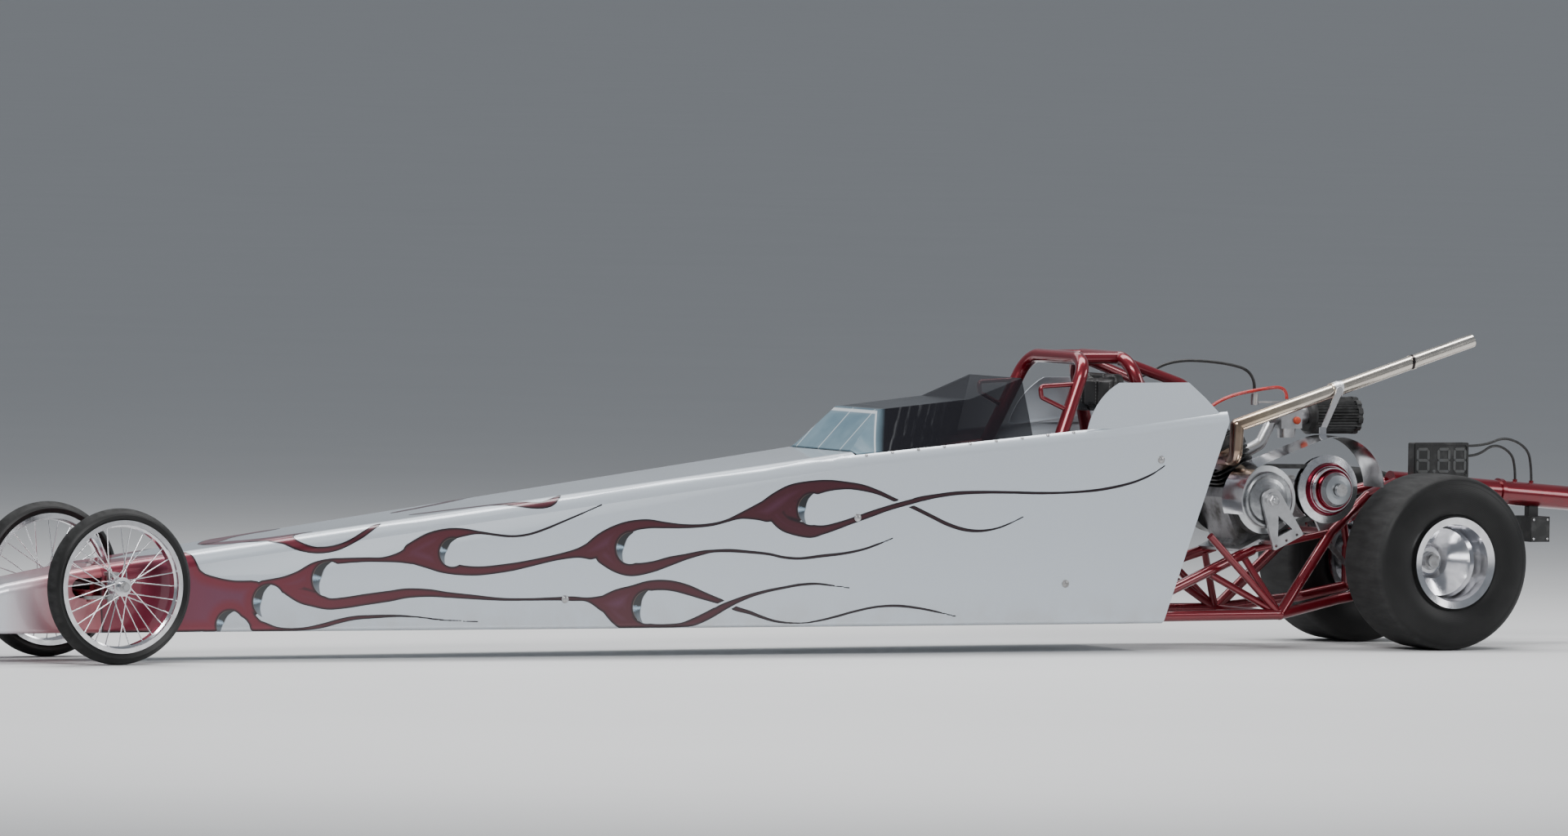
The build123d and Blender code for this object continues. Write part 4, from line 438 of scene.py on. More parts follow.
def stitched_vinyl():
    """Grained black vinyl with pale stitches beside its seams."""
    finish = Finish("stitched vinyl")
    seam = finish.node("ShaderNodeAttribute", {"attribute_name": "seam"}, output="Fac")
    run = finish.node("ShaderNodeAttribute", {"attribute_name": "run"}, output="Fac")
    grain = finish.cells(620.0, "SMOOTH_F1")
    wear = finish.noise(16.0, 4.0)
    tint = finish.between(wear, 0.4, 0.75, grey(0.012), grey(0.042))
    beside = finish.remap(finish.maths("ABSOLUTE", seam - STITCH_OFFSET), 0.0014, 0.0009)
    dash = finish.remap(finish.maths("SINE", run * STITCH_TURNS), -0.25, 0.05)
    thread = beside * dash
    tint = finish.blend(thread, tint, grey(0.13))
    height = grain * 0.25 + thread
    return finish.surface(
        Base_Color=tint, Roughness=finish.remap(wear, 0.3, 0.75, 0.36, 0.56),
        Normal=finish.relief(height, 0.0009, 0.5))


def lamp_bars():
    """Smoke-grey bars of a display that is switched off."""
    finish = Finish("display bars")
    age = finish.noise(60.0, 3.0)
    tint = finish.between(age, 0.35, 0.75, (0.085, 0.088, 0.090), (0.060, 0.060, 0.056))
    return finish.surface(Base_Color=tint, Roughness=finish.remap(age, 0.3, 0.7, 0.30, 0.45))


def orange_cap():
    finish = Finish("orange cap")
    worn = finish.noise(180.0, 3.0)
    tint = finish.between(worn, 0.4, 0.75, (0.62, 0.075, 0.022), (0.36, 0.04, 0.02))
    return finish.surface(
        Base_Color=tint, Roughness=finish.remap(worn, 0.3, 0.7, 0.35, 0.5),
        Normal=finish.relief(worn, 0.0004, 0.2))


# Radii of the driven clutch's two anodised rings, its hub and its bore
OUTER_RING = (0.0605, 0.0695)
INNER_RING = (0.0452, 0.0545)
HUB_RADIUS = 0.045
BORE_RADIUS = 0.0165


def driven_clutch_finish():
    """Turned aluminium with two anodised maroon rings, a grey hub and a dark bore."""
    middle = middle_of("driven_clutch")
    finish = Finish("driven clutch")
    radius = finish.radius_about(middle.x, middle.z)
    start, end = INNER_RING
    inner = finish.remap(radius, start, start + 0.0006) * finish.remap(radius, end, end - 0.0007)
    rings = finish.band(radius, *OUTER_RING, 0.0007) + inner
    hub = finish.remap(radius, HUB_RADIUS, HUB_RADIUS - 0.001)
    bore = finish.remap(radius, BORE_RADIUS, BORE_RADIUS - 0.001)
    turned = finish.maths("SINE", radius * 5200.0) * 0.5 + 0.5
    smudge = finish.noise(45.0, 4.0)
    metal = finish.between(smudge, 0.35, 0.75, (0.80, 0.80, 0.82), (0.46, 0.46, 0.48))
    metal = finish.blend(hub, metal, (0.36, 0.38, 0.40))
    metal = finish.blend(bore, metal, grey(0.05))
    tint = finish.blend(rings, metal, (0.20, 0.012, 0.030))
    return finish.surface(
        Base_Color=tint, Metallic=1.0, Roughness=finish.remap(smudge, 0.3, 0.75, 0.12, 0.26) + hub * 0.15,
        Normal=finish.relief(turned, 0.0002, 0.12))


def drive_clutch_finish():
    """Grey turned clutch cover, lighter at its rim."""
    middle = middle_of("drive_clutch")
    finish = Finish("drive clutch")
    radius = finish.radius_about(middle.x, middle.z)
    smudge = finish.noise(45.0, 4.0)
    turned = finish.maths("SINE", radius * 3600.0) * 0.5 + 0.5
    tint = finish.between(smudge, 0.35, 0.75, (0.34, 0.35, 0.36), (0.17, 0.17, 0.18))
    tint = finish.between(radius, 0.070, 0.074, tint, (0.62, 0.63, 0.64))
    return finish.surface(
        Base_Color=tint, Metallic=0.95, Roughness=finish.remap(smudge, 0.3, 0.75, 0.26, 0.42),
        Normal=finish.relief(turned, 0.0002, 0.2))


def nose_paint():
    """Pearl at the tip that fades into the candy base of the flames."""
    finish = Finish("nose fade")
    along = finish.place("X") + finish.noise(11.0, 3.0) * 0.03
    flake = finish.noise(2600.0, 1.0)
    pearl = finish.between(flake, 0.35, 0.75, (0.60, 0.65, 0.70), (0.80, 0.84, 0.88))
    fade = finish.ramp(finish.remap(along, *NOSE_FADE), [
        (0.0, grey(0.0)), (0.30, grey(0.12)), (0.62, grey(0.8)), (1.0, grey(1.0))])
    candy = finish.between(flake, 0.35, 0.75, (0.34, 0.055, 0.075), (0.50, 0.12, 0.14))
    return finish.surface(
        Base_Color=finish.blend(fade, pearl, candy), Metallic=0.4, Roughness=0.32, Coat_Weight=1.0,
        Coat_Roughness=0.04, Normal=finish.orange_peel(0.12))


def flame_paint():
    """Candy, rosy at the nose and maroon behind, dark along each edge and violet in the wide roots."""
    finish = Finish("flame paint")
    edge = finish.node("ShaderNodeAttribute", {"attribute_name": "edge"}, output="Fac")
    flake = finish.noise(2800.0, 1.0)
    along = finish.remap(finish.place("X"), *FLAME_RUN)
    base = finish.ramp(along, [
        (0.0, (0.22, 0.018, 0.042)), (0.14, (0.155, 0.010, 0.027)), (0.40, (0.085, 0.009, 0.018)),
        (1.0, (0.055, 0.010, 0.017))])
    violet = finish.between(flake, 0.35, 0.7, (0.085, 0.026, 0.062), (0.13, 0.045, 0.090))
    root = finish.remap(edge, 0.016, 0.034) * finish.remap(along, 0.02, 0.16) * 0.6
    tint = finish.blend(root, base, violet)
    tint = finish.blend(finish.remap(flake, 0.45, 0.8) * 0.10, tint, (0.32, 0.08, 0.10))
    tint = finish.between(edge, 0.0075, 0.0012, tint, (0.010, 0.006, 0.009))
    return finish.surface(
        Base_Color=tint, Metallic=0.45, Roughness=0.34, Coat_Weight=0.7, Coat_Roughness=0.04,
        Normal=finish.orange_peel(0.10))


def drop_shade_paint():
    """Airbrushed shade at each drop's round end: black above, a cold gleam, and blue-grey below."""
    finish = Finish("drop shade")
    shade = finish.node("ShaderNodeAttribute", {"attribute_name": "shade"}, output="Fac")
    depth = finish.node("ShaderNodeAttribute", {"attribute_name": "depth"}, output="Fac")
    tint = finish.ramp(shade + (finish.noise(240.0, 3.0) - 0.5) * 0.10, [
        (0.0, (0.006, 0.006, 0.008)), (0.50, (0.008, 0.010, 0.012)), (0.585, (0.34, 0.47, 0.58)),
        (0.67, (0.030, 0.045, 0.060)), (0.80, (0.09, 0.11, 0.13)), (1.0, (0.16, 0.18, 0.20))])
    tint = finish.between(depth, 0.12, 0.0, tint, (0.10, 0.055, 0.045))
    return finish.surface(
        Base_Color=tint, Metallic=0.1, Roughness=0.30, Coat_Weight=1.0, Coat_Roughness=0.04,
        Alpha=finish.remap(depth, 1.0, 0.82), Normal=finish.orange_peel(0.10))


SLOT_FINISHES = {
    "pearl_paint": pearl_paint,
    "candy_red": candy_red,
    "polished_aluminium": polished_aluminium,
    "satin_aluminium": satin_aluminium,
    "red_anodised": red_anodised,
    "stainless": stainless,
    "steel": machined_steel,
    "black_paint": black_paint,
    "engine_casting": engine_casting,
    "belt_rubber": belt_rubber,
    "smoked_screen": smoked_screen,
    "black_plastic": black_plastic,
    "pad_vinyl": pad_vinyl,
    "hose_red": fuel_hose,
    "hose_black": wire_cover,
}
# Pieces whose finish follows their own shape
NODE_FINISHES = {
    "nose_cone": nose_paint,
    "driven_clutch": driven_clutch_finish,
    "drive_clutch": drive_clutch_finish,
}
made_finishes = {}


def finish_of(name, maker=None):
    """The material of this name, made once."""
    if name not in made_finishes:
        made_finishes[name] = (maker or SLOT_FINISHES[name])()
    return made_finishes[name]


# Meshes


def piece(name, mesh, material, smooth=True):
    """Links a finished mesh, gives it its material and rides it on the chassis."""
    thing = bpy.data.objects.new(name, mesh)
    bpy.context.scene.collection.objects.link(thing)
    mesh.materials.append(material)
    if smooth:
        mesh.shade_smooth()
    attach(thing, CHASSIS)


def mesh_from(name, build):
    """Runs a function on a new bmesh and returns the mesh."""
    work = bmesh.new()
    build(work)
    mesh = bpy.data.meshes.new(name)
    bmesh.ops.recalc_face_normals(work, faces=work.faces)
    work.to_mesh(mesh)
    work.free()
    return mesh


def facing(point, direction):
    """A matrix that puts local +Z along a direction at a point."""
    turn = Vector(direction).to_track_quat("Z", "Y").to_matrix().to_4x4()
    return Matrix.Translation(point) @ turn


def add_rings(work, matrix, rings):
    """Walls from each ring of points to the next, and a lid on the last; it returns the first ring."""
    loops = [[work.verts.new(matrix @ Vector(point)) for point in ring] for ring in rings]
    count = len(rings[0])
    for low, high in zip(loops, loops[1:]):
        for i in range(count):
            j = (i + 1) % count
            work.faces.new((low[i], low[j], high[j], high[i]))
    work.faces.new(loops[-1])
    return loops[0]


def circle(radius, height, segments):
    turns = [math.tau * i / segments for i in range(segments)]
    return [(radius * math.cos(turn), radius * math.sin(turn), height) for turn in turns]


def add_dome(work, matrix, radius, height, segments=16):
    """A low domed fastener head with a rim."""
    profile = [(0.0, 1.0), (0.35, 1.0), (0.75, 0.82), (1.0, 0.45)]
    add_rings(work, matrix, [circle(wide * radius, up * height, segments) for up, wide in profile])


def add_turned(work, start, direction, profile, segments=24):
    """A turned fitting from (distance along, radius) pairs, closed at both ends."""
    matrix = facing(Vector(start), direction)
    first = add_rings(work, matrix, [circle(radius, along, segments) for along, radius in profile])
    work.faces.new(first[::-1])


def add_nut(work, start, direction, radius, height):
    """A six-sided nut with its stud end."""
    nut = [(0.0, radius), (0.85 * height, radius), (height, 0.86 * radius)]
    stud = [(0.5 * height, 0.5 * radius), (1.5 * height, 0.5 * radius), (1.6 * height, 0.4 * radius)]
    add_turned(work, start, direction, nut, 6)
    add_turned(work, start, direction, stud, 16)


def add_bar(work, matrix, length, width, depth):
    """A flat bar with pointed ends and a small bevel, proud of the plane by its depth."""
    half, point = length / 2, width / 2
    shape = [
        (-half, 0), (-half + point, -point), (half - point, -point), (half, 0), (half - point, point),
        (-half + point, point)]
    rings = []
    for lift, inset in ((0.0, 0.0), (0.7 * depth, 0.0), (depth, 0.18 * point)):
        rings.append([
            (x - math.copysign(inset, x), y - (math.copysign(inset, y) if y else 0.0), lift)
            for x, y in shape])
    first = add_rings(work, matrix, rings)
    work.faces.new(first[::-1])


# The body's painted skin

# Body sections: station behind the front axle, half width, top height, all in metres
BODY_SECTIONS = [
    (0.0, 0.108, 0.244),
    (2.098, 0.198, 0.518),
    (2.790, 0.215, 0.583),
    (3.240, 0.215, 0.632),
]
SHIELD_FOOT = (0.206, 0.553)
SHIELD_LEAN = math.radians(5.0)
# Buttons along the shield's front edge and the four large fasteners of the flank: station and height
SHIELD_BUTTONS = [(2.880, 0.680), (2.851, 0.636), (2.806, 0.596)]
BODY_BUTTONS = [(1.279, 0.150), (2.102, 0.352), (2.984, 0.496), (2.707, 0.179)]
# Sides, bottom and top of the dial-in board's face
BOARD_FACE = (1.762, 1.928, 0.437, 0.529)
SHOULDER_RADIUS = 0.036
SILL_RADIUS = 0.011
BODY_BOTTOM = 0.074
PAINT_EDGE = BODY_BOTTOM + 0.0012
SKIN_LIFT = 0.00025
# The row of buttons along the shoulder: where it starts and ends behind the front axle, and how deep it sits
SHOULDER_ROW = (2.13, 2.78)
ROW_INSET = 0.0105


def along_sections(station, column):
    """A section's half width (column 1) or top height (column 2) at a station."""
    for ahead, behind in zip(BODY_SECTIONS, BODY_SECTIONS[1:]):
        if station <= behind[0]:
            share = (station - ahead[0]) / (behind[0] - ahead[0])
            return ahead[column] + share * (behind[column] - ahead[column])
    return BODY_SECTIONS[-1][column]


def on_skin(station, height, side, lift=SKIN_LIFT):
    """A point on the painted skin: past the flank's top, height counts on over the shoulder and inwards."""
    half = along_sections(station, 1)
    top = along_sections(station, 2)
    flat_end = top - SHOULDER_RADIUS
    arc = height - flat_end
    quarter = SHOULDER_RADIUS * math.pi / 2
    x = FRONT_AXLE_X + station
    drop = BODY_BOTTOM + SILL_RADIUS - height
    if drop > 0:
        reach = SILL_RADIUS + lift
        out = math.sqrt(max(0.0, reach * reach - drop * drop))
        return Vector((x, side * (half - SILL_RADIUS + out), height))
    if arc <= 0:
        return Vector((x, side * (half + lift), height))
    if arc < quarter:
        turn = arc / SHOULDER_RADIUS
        reach = SHOULDER_RADIUS + lift
        y = half - SHOULDER_RADIUS + reach * math.cos(turn)
        return Vector((x, side * y, flat_end + reach * math.sin(turn)))
    return Vector((x, side * (half - SHOULDER_RADIUS - (arc - quarter)), top + lift))


# Curve points to each span, where no spacing is asked for
SPAN_STEPS = 3


def eased(points, closed=False, spacing=None):
    """Points along a curve through the given ones; each keeps all its values, such as a width."""
    rows = [tuple(row) for row in points]
    count = len(rows)
    out = []
    for i in range(count if closed else count - 1):
        before = rows[(i - 1) % count] if closed else rows[max(i - 1, 0)]
        start = rows[i]
        end = rows[(i + 1) % count]
        after = rows[(i + 2) % count] if closed else rows[min(i + 2, count - 1)]
        steps = SPAN_STEPS
        if spacing is not None:
            steps = max(1, math.ceil(math.dist(start[:2], end[:2]) / spacing))
        for step in range(steps):
            t = step / steps
            out.append(tuple(
                b + 0.5 * t * (c - a + t * (2 * a - 5 * b + 4 * c - d + t * (3 * (b - c) - a + d)))
                for a, b, c, d in zip(before, start, end, after)))
    return out if closed else out + [rows[-1]]


def inside(point, loop):
    """Whether a point lies inside a closed loop."""
    hit = False
    x, y = point
    for (ax, ay), (bx, by) in zip(loop, loop[1:] + loop[:1]):
        if (ay > y) != (by > y) and x < (bx - ax) * (y - ay) / (by - ay) + ax:
            hit = not hit
    return hit


def distance_to_loop(point, loop):
    """Distance from a point to the nearest edge of a closed loop."""
    x, y = point
    best = 1.0
    for (ax, ay), (bx, by) in zip(loop, loop[1:] + loop[:1]):
        run_x, run_y = bx - ax, by - ay
        share = ((x - ax) * run_x + (y - ay) * run_y) / max(run_x * run_x + run_y * run_y, 1e-12)
        share = max(0.0, min(1.0, share))
        best = min(best, math.hypot(ax + share * run_x - x, ay + share * run_y - y))
    return best


# Distance between the dabs of a stroke, and its least width
DAB_STEP = 0.0018
THINNEST_STROKE = 0.0035
# How far past an edge the grid holds its depth, in grid steps
EDGE_MARGIN = 1.5
# How far from a wiped edge its distance is kept: beside a thin gap and round a drop
GAP_REACH = 0.012
DROP_REACH = 0.03


class PaintMask:
    """How far each point of a grid on the flank lies outside the paint; it is negative inside."""

    def __init__(self, spacing):
        self.spacing = spacing
        self.depths = {}

    def around(self, x, z, reach):
        """The grid's keys within reach of a point, each with its distance."""
        step = self.spacing
        for i in range(math.ceil((x - reach) / step), math.floor((x + reach) / step) + 1):
            for j in range(math.ceil((z - reach) / step), math.floor((z + reach) / step) + 1):
                yield (i, j), math.hypot(i * step - x, j * step - z)

    def paint(self, stroke):
        """Adds a brush stroke of station, height and width."""
        for x, z, width in eased(stroke, spacing=DAB_STEP):
            radius = max(width, THINNEST_STROKE) / 2
            for key, distance in self.around(x, z, radius + EDGE_MARGIN * self.spacing):
                self.depths[key] = min(self.depths.get(key, 1.0), distance - radius)

    def fill(self, outline):
        """Adds the inside of a closed outline."""
        loop = eased(outline, closed=True)
        step = self.spacing
        low_x, high_x = min(p[0] for p in loop), max(p[0] for p in loop)
        low_z, high_z = min(p[1] for p in loop), max(p[1] for p in loop)
        for i in range(math.floor(low_x / step) - 1, math.ceil(high_x / step) + 2):
            for j in range(math.floor(low_z / step) - 1, math.ceil(high_z / step) + 2):
                spot = (i * step, j * step)
                distance = distance_to_loop(spot, loop)
                depth = -distance if inside(spot, loop) else distance
                if depth < EDGE_MARGIN * step:
                    self.depths[(i, j)] = min(self.depths.get((i, j), 1.0), depth)

    def wipe(self, stroke, reach):
        """Takes a stroke away again, and keeps the distance to its edge near it."""
        for x, z, width in eased(stroke, spacing=DAB_STEP):
            radius = width / 2
            for key, distance in self.around(x, z, radius + reach):
                if key in self.depths:
                    self.depths[key] = max(self.depths[key], radius - distance)

    def trim(self, low):
        """Takes away all that lies below a height."""
        for (i, j), depth in self.depths.items():
            self.depths[(i, j)] = max(depth, low - j * self.spacing)

    def mesh(self, name, side):
        """The painted area as a mesh on one flank's skin, cut to its smooth edge."""
        step = self.spacing
        cells = set()
        for (i, j), depth in self.depths.items():
            if depth < 0:
                cells.update([(i, j), (i - 1, j), (i, j - 1), (i - 1, j - 1)])
        order, points, edge, faces = {}, [], [], []

        def corner(key, x, z, depth):
            if key not in order:
                order[key] = len(points)
                points.append(on_skin(x, z, side))
                edge.append(max(0.0, -depth))
            return order[key]

        for i, j in sorted(cells):
            ring = [(i, j), (i + 1, j), (i + 1, j + 1), (i, j + 1)]
            face = []
            for a, b in zip(ring, ring[1:] + ring[:1]):
                depth_a, depth_b = self.depths.get(a, step), self.depths.get(b, step)
                if depth_a < 0:
                    face.append(corner(a, a[0] * step, a[1] * step, depth_a))
                if (depth_a < 0) != (depth_b < 0):
                    share = depth_a / (depth_a - depth_b)
                    x = (a[0] + share * (b[0] - a[0])) * step
                    z = (a[1] + share * (b[1] - a[1])) * step
                    face.append(corner((min(a, b), max(a, b)), x, z, 0.0))
            if len(face) > 2:
                faces.append(face if side < 0 else face[::-1])
        mesh = bpy.data.meshes.new(name)
        mesh.from_pydata(points, [], faces)
        layer = mesh.attributes.new("edge", "FLOAT", "POINT")
        layer.data.foreach_set("value", edge)
        mesh.update()
        return mesh


def millimetres(rows):
    """Rows given in millimetres, in metres."""
    return [tuple(value / 1000.0 for value in row) for row in rows]


# Brush strokes of the flames: station behind the front axle, height and width, in millimetres
FLAME_STROKES = [millimetres(stroke) for stroke in (
    # Upper line of licks
    [(440, 188, 30), (500, 192, 42), (545, 203, 50), (580, 232, 30), (620, 247, 18), (665, 251, 14),
     (725, 253, 12), (770, 253, 13), (815, 258, 26), (850, 265, 48)],
    [(850, 270, 50), (900, 295, 50), (949, 314, 33), (995, 320, 20), (1040, 319, 8), (1120, 310, 6),
     (1173, 314, 6), (1222, 328, 6), (1270, 346, 5), (1325, 367, 4), (1378, 388, 0)],
    [(860, 268, 56), (900, 256, 54), (936, 237, 37), (981, 226, 27), (1042, 223, 23), (1121, 231, 21),
     (1174, 240, 18), (1250, 255, 16), (1311, 266, 24), (1349, 272, 45)],
    [(1349, 272, 45), (1386, 290, 60), (1424, 313, 50), (1462, 333, 30), (1508, 339, 24), (1554, 336, 17),
     (1600, 333, 12), (1646, 333, 9), (1692, 337, 8), (1731, 346, 8), (1769, 358, 16), (1815, 367, 39),
     (1845, 371, 58)],
    [(1388, 262, 52), (1419, 243, 50), (1449, 228, 40), (1480, 224, 33), (1526, 231, 28), (1572, 244, 24),
     (1617, 255, 16), (1663, 265, 12), (1694, 269, 8), (1740, 270, 9), (1786, 267, 8), (1848, 261, 7),
     (1894, 252, 7), (1941, 249, 7), (2002, 255, 8), (2064, 261, 7), (2119, 271, 6), (2165, 285, 5),
     (2204, 299, 0)],
    [(1845, 371, 58), (1876, 390, 60), (1914, 413, 50), (1960, 425, 42), (2015, 434, 30), (2069, 434, 20),
     (2116, 428, 17), (2163, 415, 12), (2210, 396, 10), (2258, 379, 10), (2313, 355, 10), (2361, 334, 10),
     (2409, 320, 9), (2456, 316, 7), (2503, 322, 5), (2543, 335, 4), (2582, 352, 0)],
    [(1870, 360, 44), (1900, 335, 40), (1963, 319, 36), (2002, 321, 24), (2040, 330, 19), (2086, 344, 16),
     (2140, 361, 16), (2187, 375, 14), (2234, 387, 14), (2281, 398, 14), (2328, 406, 11), (2391, 413, 10),
     (2470, 415, 8), (2549, 414, 7), (2628, 412, 7), (2708, 413, 6), (2787, 418, 7), (2851, 427, 7),
     (2908, 440, 6), (2956, 458, 5), (2996, 481, 0)],
    # Lower line of licks
    [(500, 180, 20), (545, 165, 40), (582, 155, 40), (620, 143, 30), (665, 145, 29), (725, 153, 29),
     (790, 161, 28), (840, 168, 25), (900, 168, 20), (952, 163, 15), (1024, 157, 12), (1100, 151, 8),
     (1176, 150, 7), (1252, 151, 9), (1298, 151, 12), (1343, 148, 12), (1389, 138, 42)],
    [(1389, 138, 42), (1430, 140, 70), (1470, 167, 35), (1511, 181, 28), (1550, 184, 27), (1588, 180, 27),
     (1627, 170, 26), (1665, 157, 21), (1696, 147, 17), (1715, 141, 15), (1735, 134, 14)],
    [(1750, 126, 13), (1769, 120, 12), (1800, 112, 10), (1835, 100, 8), (1882, 88, 6), (1944, 84, 4),
     (1990, 89, 5), (2044, 100, 6), (2098, 113, 6), (2161, 124, 6), (2223, 126, 7), (2286, 119, 6),
     (2334, 110, 5), (2389, 98, 0)],
    [(1400, 130, 40), (1440, 100, 50), (1482, 84, 20), (1520, 81, 11), (1560, 80, 10), (1605, 82, 12),
     (1640, 89, 20), (1680, 105, 22), (1719, 124, 20), (1760, 141, 14), (1804, 156, 10), (1850, 167, 8),
     (1896, 175, 7), (1942, 182, 7), (1988, 184, 6), (2035, 179, 4), (2081, 173, 0)],
    [(420, 90, 30), (441, 88, 24), (479, 81, 12), (517, 79, 8), (561, 81, 9), (606, 88, 12), (651, 99, 12),
     (696, 107, 11), (756, 110, 9), (817, 111, 6), (877, 107, 4), (938, 100, 4), (1036, 95, 0)],
)]
# The wide root that the licks grow from, as a closed outline of station and height
FLAME_ROOT = millimetres([
    (2, 75), (2, 330), (60, 345), (140, 322), (236, 288), (268, 230), (313, 212), (365, 203), (425, 201),
    (448, 177), (425, 164), (411, 144), (419, 120), (441, 99), (479, 84), (464, 75), (419, 75), (396, 103),
    (370, 117), (340, 117), (314, 100), (300, 77), (60, 75)])
# Licks that come over the shoulder: past the flank's top the height counts on over the top
SHOULDER_LICKS = [millimetres(lick) for lick in (
    [(330, 372), (380, 322), (453, 309), (498, 294), (536, 277), (588, 269), (641, 275), (686, 293),
     (731, 318), (775, 350), (753, 347), (723, 329), (678, 304), (633, 289), (588, 286), (554, 295),
     (535, 309), (538, 326), (562, 338), (600, 352), (560, 360), (500, 356), (440, 366), (400, 392),
     (340, 410)],
    [(900, 430), (1000, 420), (1090, 404), (1149, 386), (1200, 379), (1238, 384), (1262, 402), (1280, 430),
     (1245, 412), (1210, 400), (1160, 410), (1090, 432), (990, 446), (900, 450)],
)]
# Round ends of the drops between the licks: station, height and radius in metres, and the turn of their
# shade in degrees
DROP_ENDS = [
    (0.620, 0.205, 0.044, 128.0),
    (0.456, 0.150, 0.042, 132.0),
    (0.963, 0.270, 0.036, 122.0),
    (0.350, 0.092, 0.036, 120.0),
    (1.460, 0.278, 0.040, 128.0),
    (1.511, 0.128, 0.042, 138.0),
    (1.971, 0.374, 0.040, 134.0),
]
# How far in front of its round end each drop's patch of paint starts
PATCH_REACH = 0.022
# Thin gaps beside the lick that passes over another: station, height and width
FLAME_GAPS = [millimetres(gap) for gap in (
    [(2190, 386, 5), (2260, 402, 5)],
    [(2212, 372, 5), (2290, 391, 5)],
    [(1700, 128, 5), (1719, 137, 5), (1760, 151, 5), (1790, 160, 5)],
    [(1722, 112, 5), (1760, 131, 5), (1800, 147, 5)],
)]


def flame_mask(spacing):
    """The strokes, the root and the shoulder licks, less the drops and the gaps."""
    mask = PaintMask(spacing)
    for stroke in FLAME_STROKES:
        mask.paint(stroke)
    mask.fill(FLAME_ROOT)
    for station, height, radius, _ in DROP_ENDS:
        mask.paint([
            (station - radius - PATCH_REACH, height, 1.1 * radius),
            (station - 0.8 * radius, height, 1.5 * radius)])
    for station, height, radius, _ in DROP_ENDS:
        mask.wipe([(station, height, 2 * radius), (station + 0.001, height, 2 * radius)], DROP_REACH)
    for gap in FLAME_GAPS:
        mask.wipe(gap, GAP_REACH)
    for lick in SHOULDER_LICKS:
        mask.fill(lick)
    mask.trim(PAINT_EDGE)
    return mask


# The shade in a drop's round end: where it starts, how far it runs round, and its width against the radius
SHADE_START = math.radians(-50.0)
SHADE_SWEEP = math.radians(165.0)
SHADE_WIDTH = 0.62
SHADE_TAPER = 0.8
SHADE_OVERLAP = 0.0006
SHADE_LEAST = 0.0004
SHADE_STEPS = 28
SHADE_ROWS = 5


def drop_shades(name, side):
    """Crescents inside the round end of each drop, shaded from above to below."""

    def build(work):
        shade_layer = work.verts.layers.float.new("shade")
        depth_layer = work.verts.layers.float.new("depth")

        def corner(centre, reach, angle, shade, depth):
            station, height = centre
            made = work.verts.new(on_skin(
                station + reach * math.cos(angle), max(PAINT_EDGE, height + reach * math.sin(angle)), side,
                SKIN_LIFT * 1.8))
            made[shade_layer] = shade
            made[depth_layer] = depth
            return made

        for station, height, radius, turn in DROP_ENDS:
            rows = []
            for i in range(SHADE_STEPS + 1):
                shade = i / SHADE_STEPS
                angle = math.radians(turn) + SHADE_START + SHADE_SWEEP * shade
                thick = max(SHADE_WIDTH * radius * math.sin(math.pi * shade) ** SHADE_TAPER, SHADE_LEAST)
                depths = [ring / SHADE_ROWS for ring in range(SHADE_ROWS + 1)]
                rows.append([
                    corner((station, height), radius + SHADE_OVERLAP - depth * thick, angle, shade, depth)
                    for depth in depths])
            for near, far in zip(rows, rows[1:]):
                for a in range(SHADE_ROWS):
                    work.faces.new((near[a], near[a + 1], far[a + 1], far[a]))
    return mesh_from(name, build)


# Hoses and wires

# Each route repeats the points of its solid: exit first, in metres
CORD_ROUTES = {
    "fuel_line": [
        (1.03285, 0.020, 0.49637), (1.06856, 0.020, 0.48337), (1.130, 0.014, 0.575), (1.205, -0.002, 0.645),
        (1.310, -0.046, 0.672), (1.403, -0.010, 0.675), (1.403, -0.010, 0.643)],
    "vent_hose": [
        (1.305, -0.010, 0.670), (1.305, -0.010, 0.714), (1.229, 0.020, 0.738), (1.0919, 0.056, 0.744),
        (1.0019, 0.058, 0.6948), (1.0019, 0.094, 0.6948)],
    "board_wire_front": [
        (1.934, -0.045, 0.494), (1.965, -0.045, 0.494), (2.020, -0.037, 0.526), (2.090, -0.010, 0.500),
        (2.108, 0.0, 0.45986), (2.108, 0.0, 0.42986)],
    "board_wire_rear": [
        (1.934, -0.045, 0.520), (1.985, -0.045, 0.520), (2.055, -0.035, 0.544), (2.140, -0.011, 0.512),
        (2.158, 0.0, 0.45586), (2.158, 0.0, 0.42586)],
}
# Length, diameter and finish of each
CORD_FACTS = {
    "fuel_line": (0.465, 0.009, "hose_red"),
    "vent_hose": (0.379, 0.008, "hose_black"),
    "board_wire_front": (0.240, 0.007, "hose_black"),
    "board_wire_rear": (0.300, 0.007, "hose_black"),
}


def cord_piece(name):
    """A smooth hose or wire along its route, in the place of its solid."""
    route = CORD_ROUTES[name]
    length, diameter, slot_name = CORD_FACTS[name]
    curve = bpy.data.curves.new(name + "_line", "CURVE")
    curve.dimensions = "3D"
    curve.bevel_depth = diameter / 2
    curve.bevel_resolution = 6
    curve.resolution_u = 16
    curve.use_fill_caps = True
    spline = curve.splines.new("NURBS")
    spline.points.add(len(route) - 1)
    for point, place in zip(spline.points, route):
        point.co = (*place, 1.0)
    spline.order_u = 3
    spline.use_endpoint_u = True
    thing = bpy.data.objects.new(name + "_cord", curve)
    bpy.context.scene.collection.objects.link(thing)
    curve.materials.append(finish_of(slot_name))
    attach(thing, CHASSIS)
    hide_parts(name)


# Padding

# Middle line of the seat pad in the car's side view: (x, z) at its front, its fold and its top, in metres
SEAT_LINE = [(0.537, 0.1164), (0.715, 0.1164), (0.824, 0.490)]
# The sewn channels across the seat: their places from its front, and the pitch and number down from its top
FRONT_CHANNELS = [0.062, 0.124]
BACK_CHANNEL_PITCH = 0.075
BACK_CHANNELS = 4
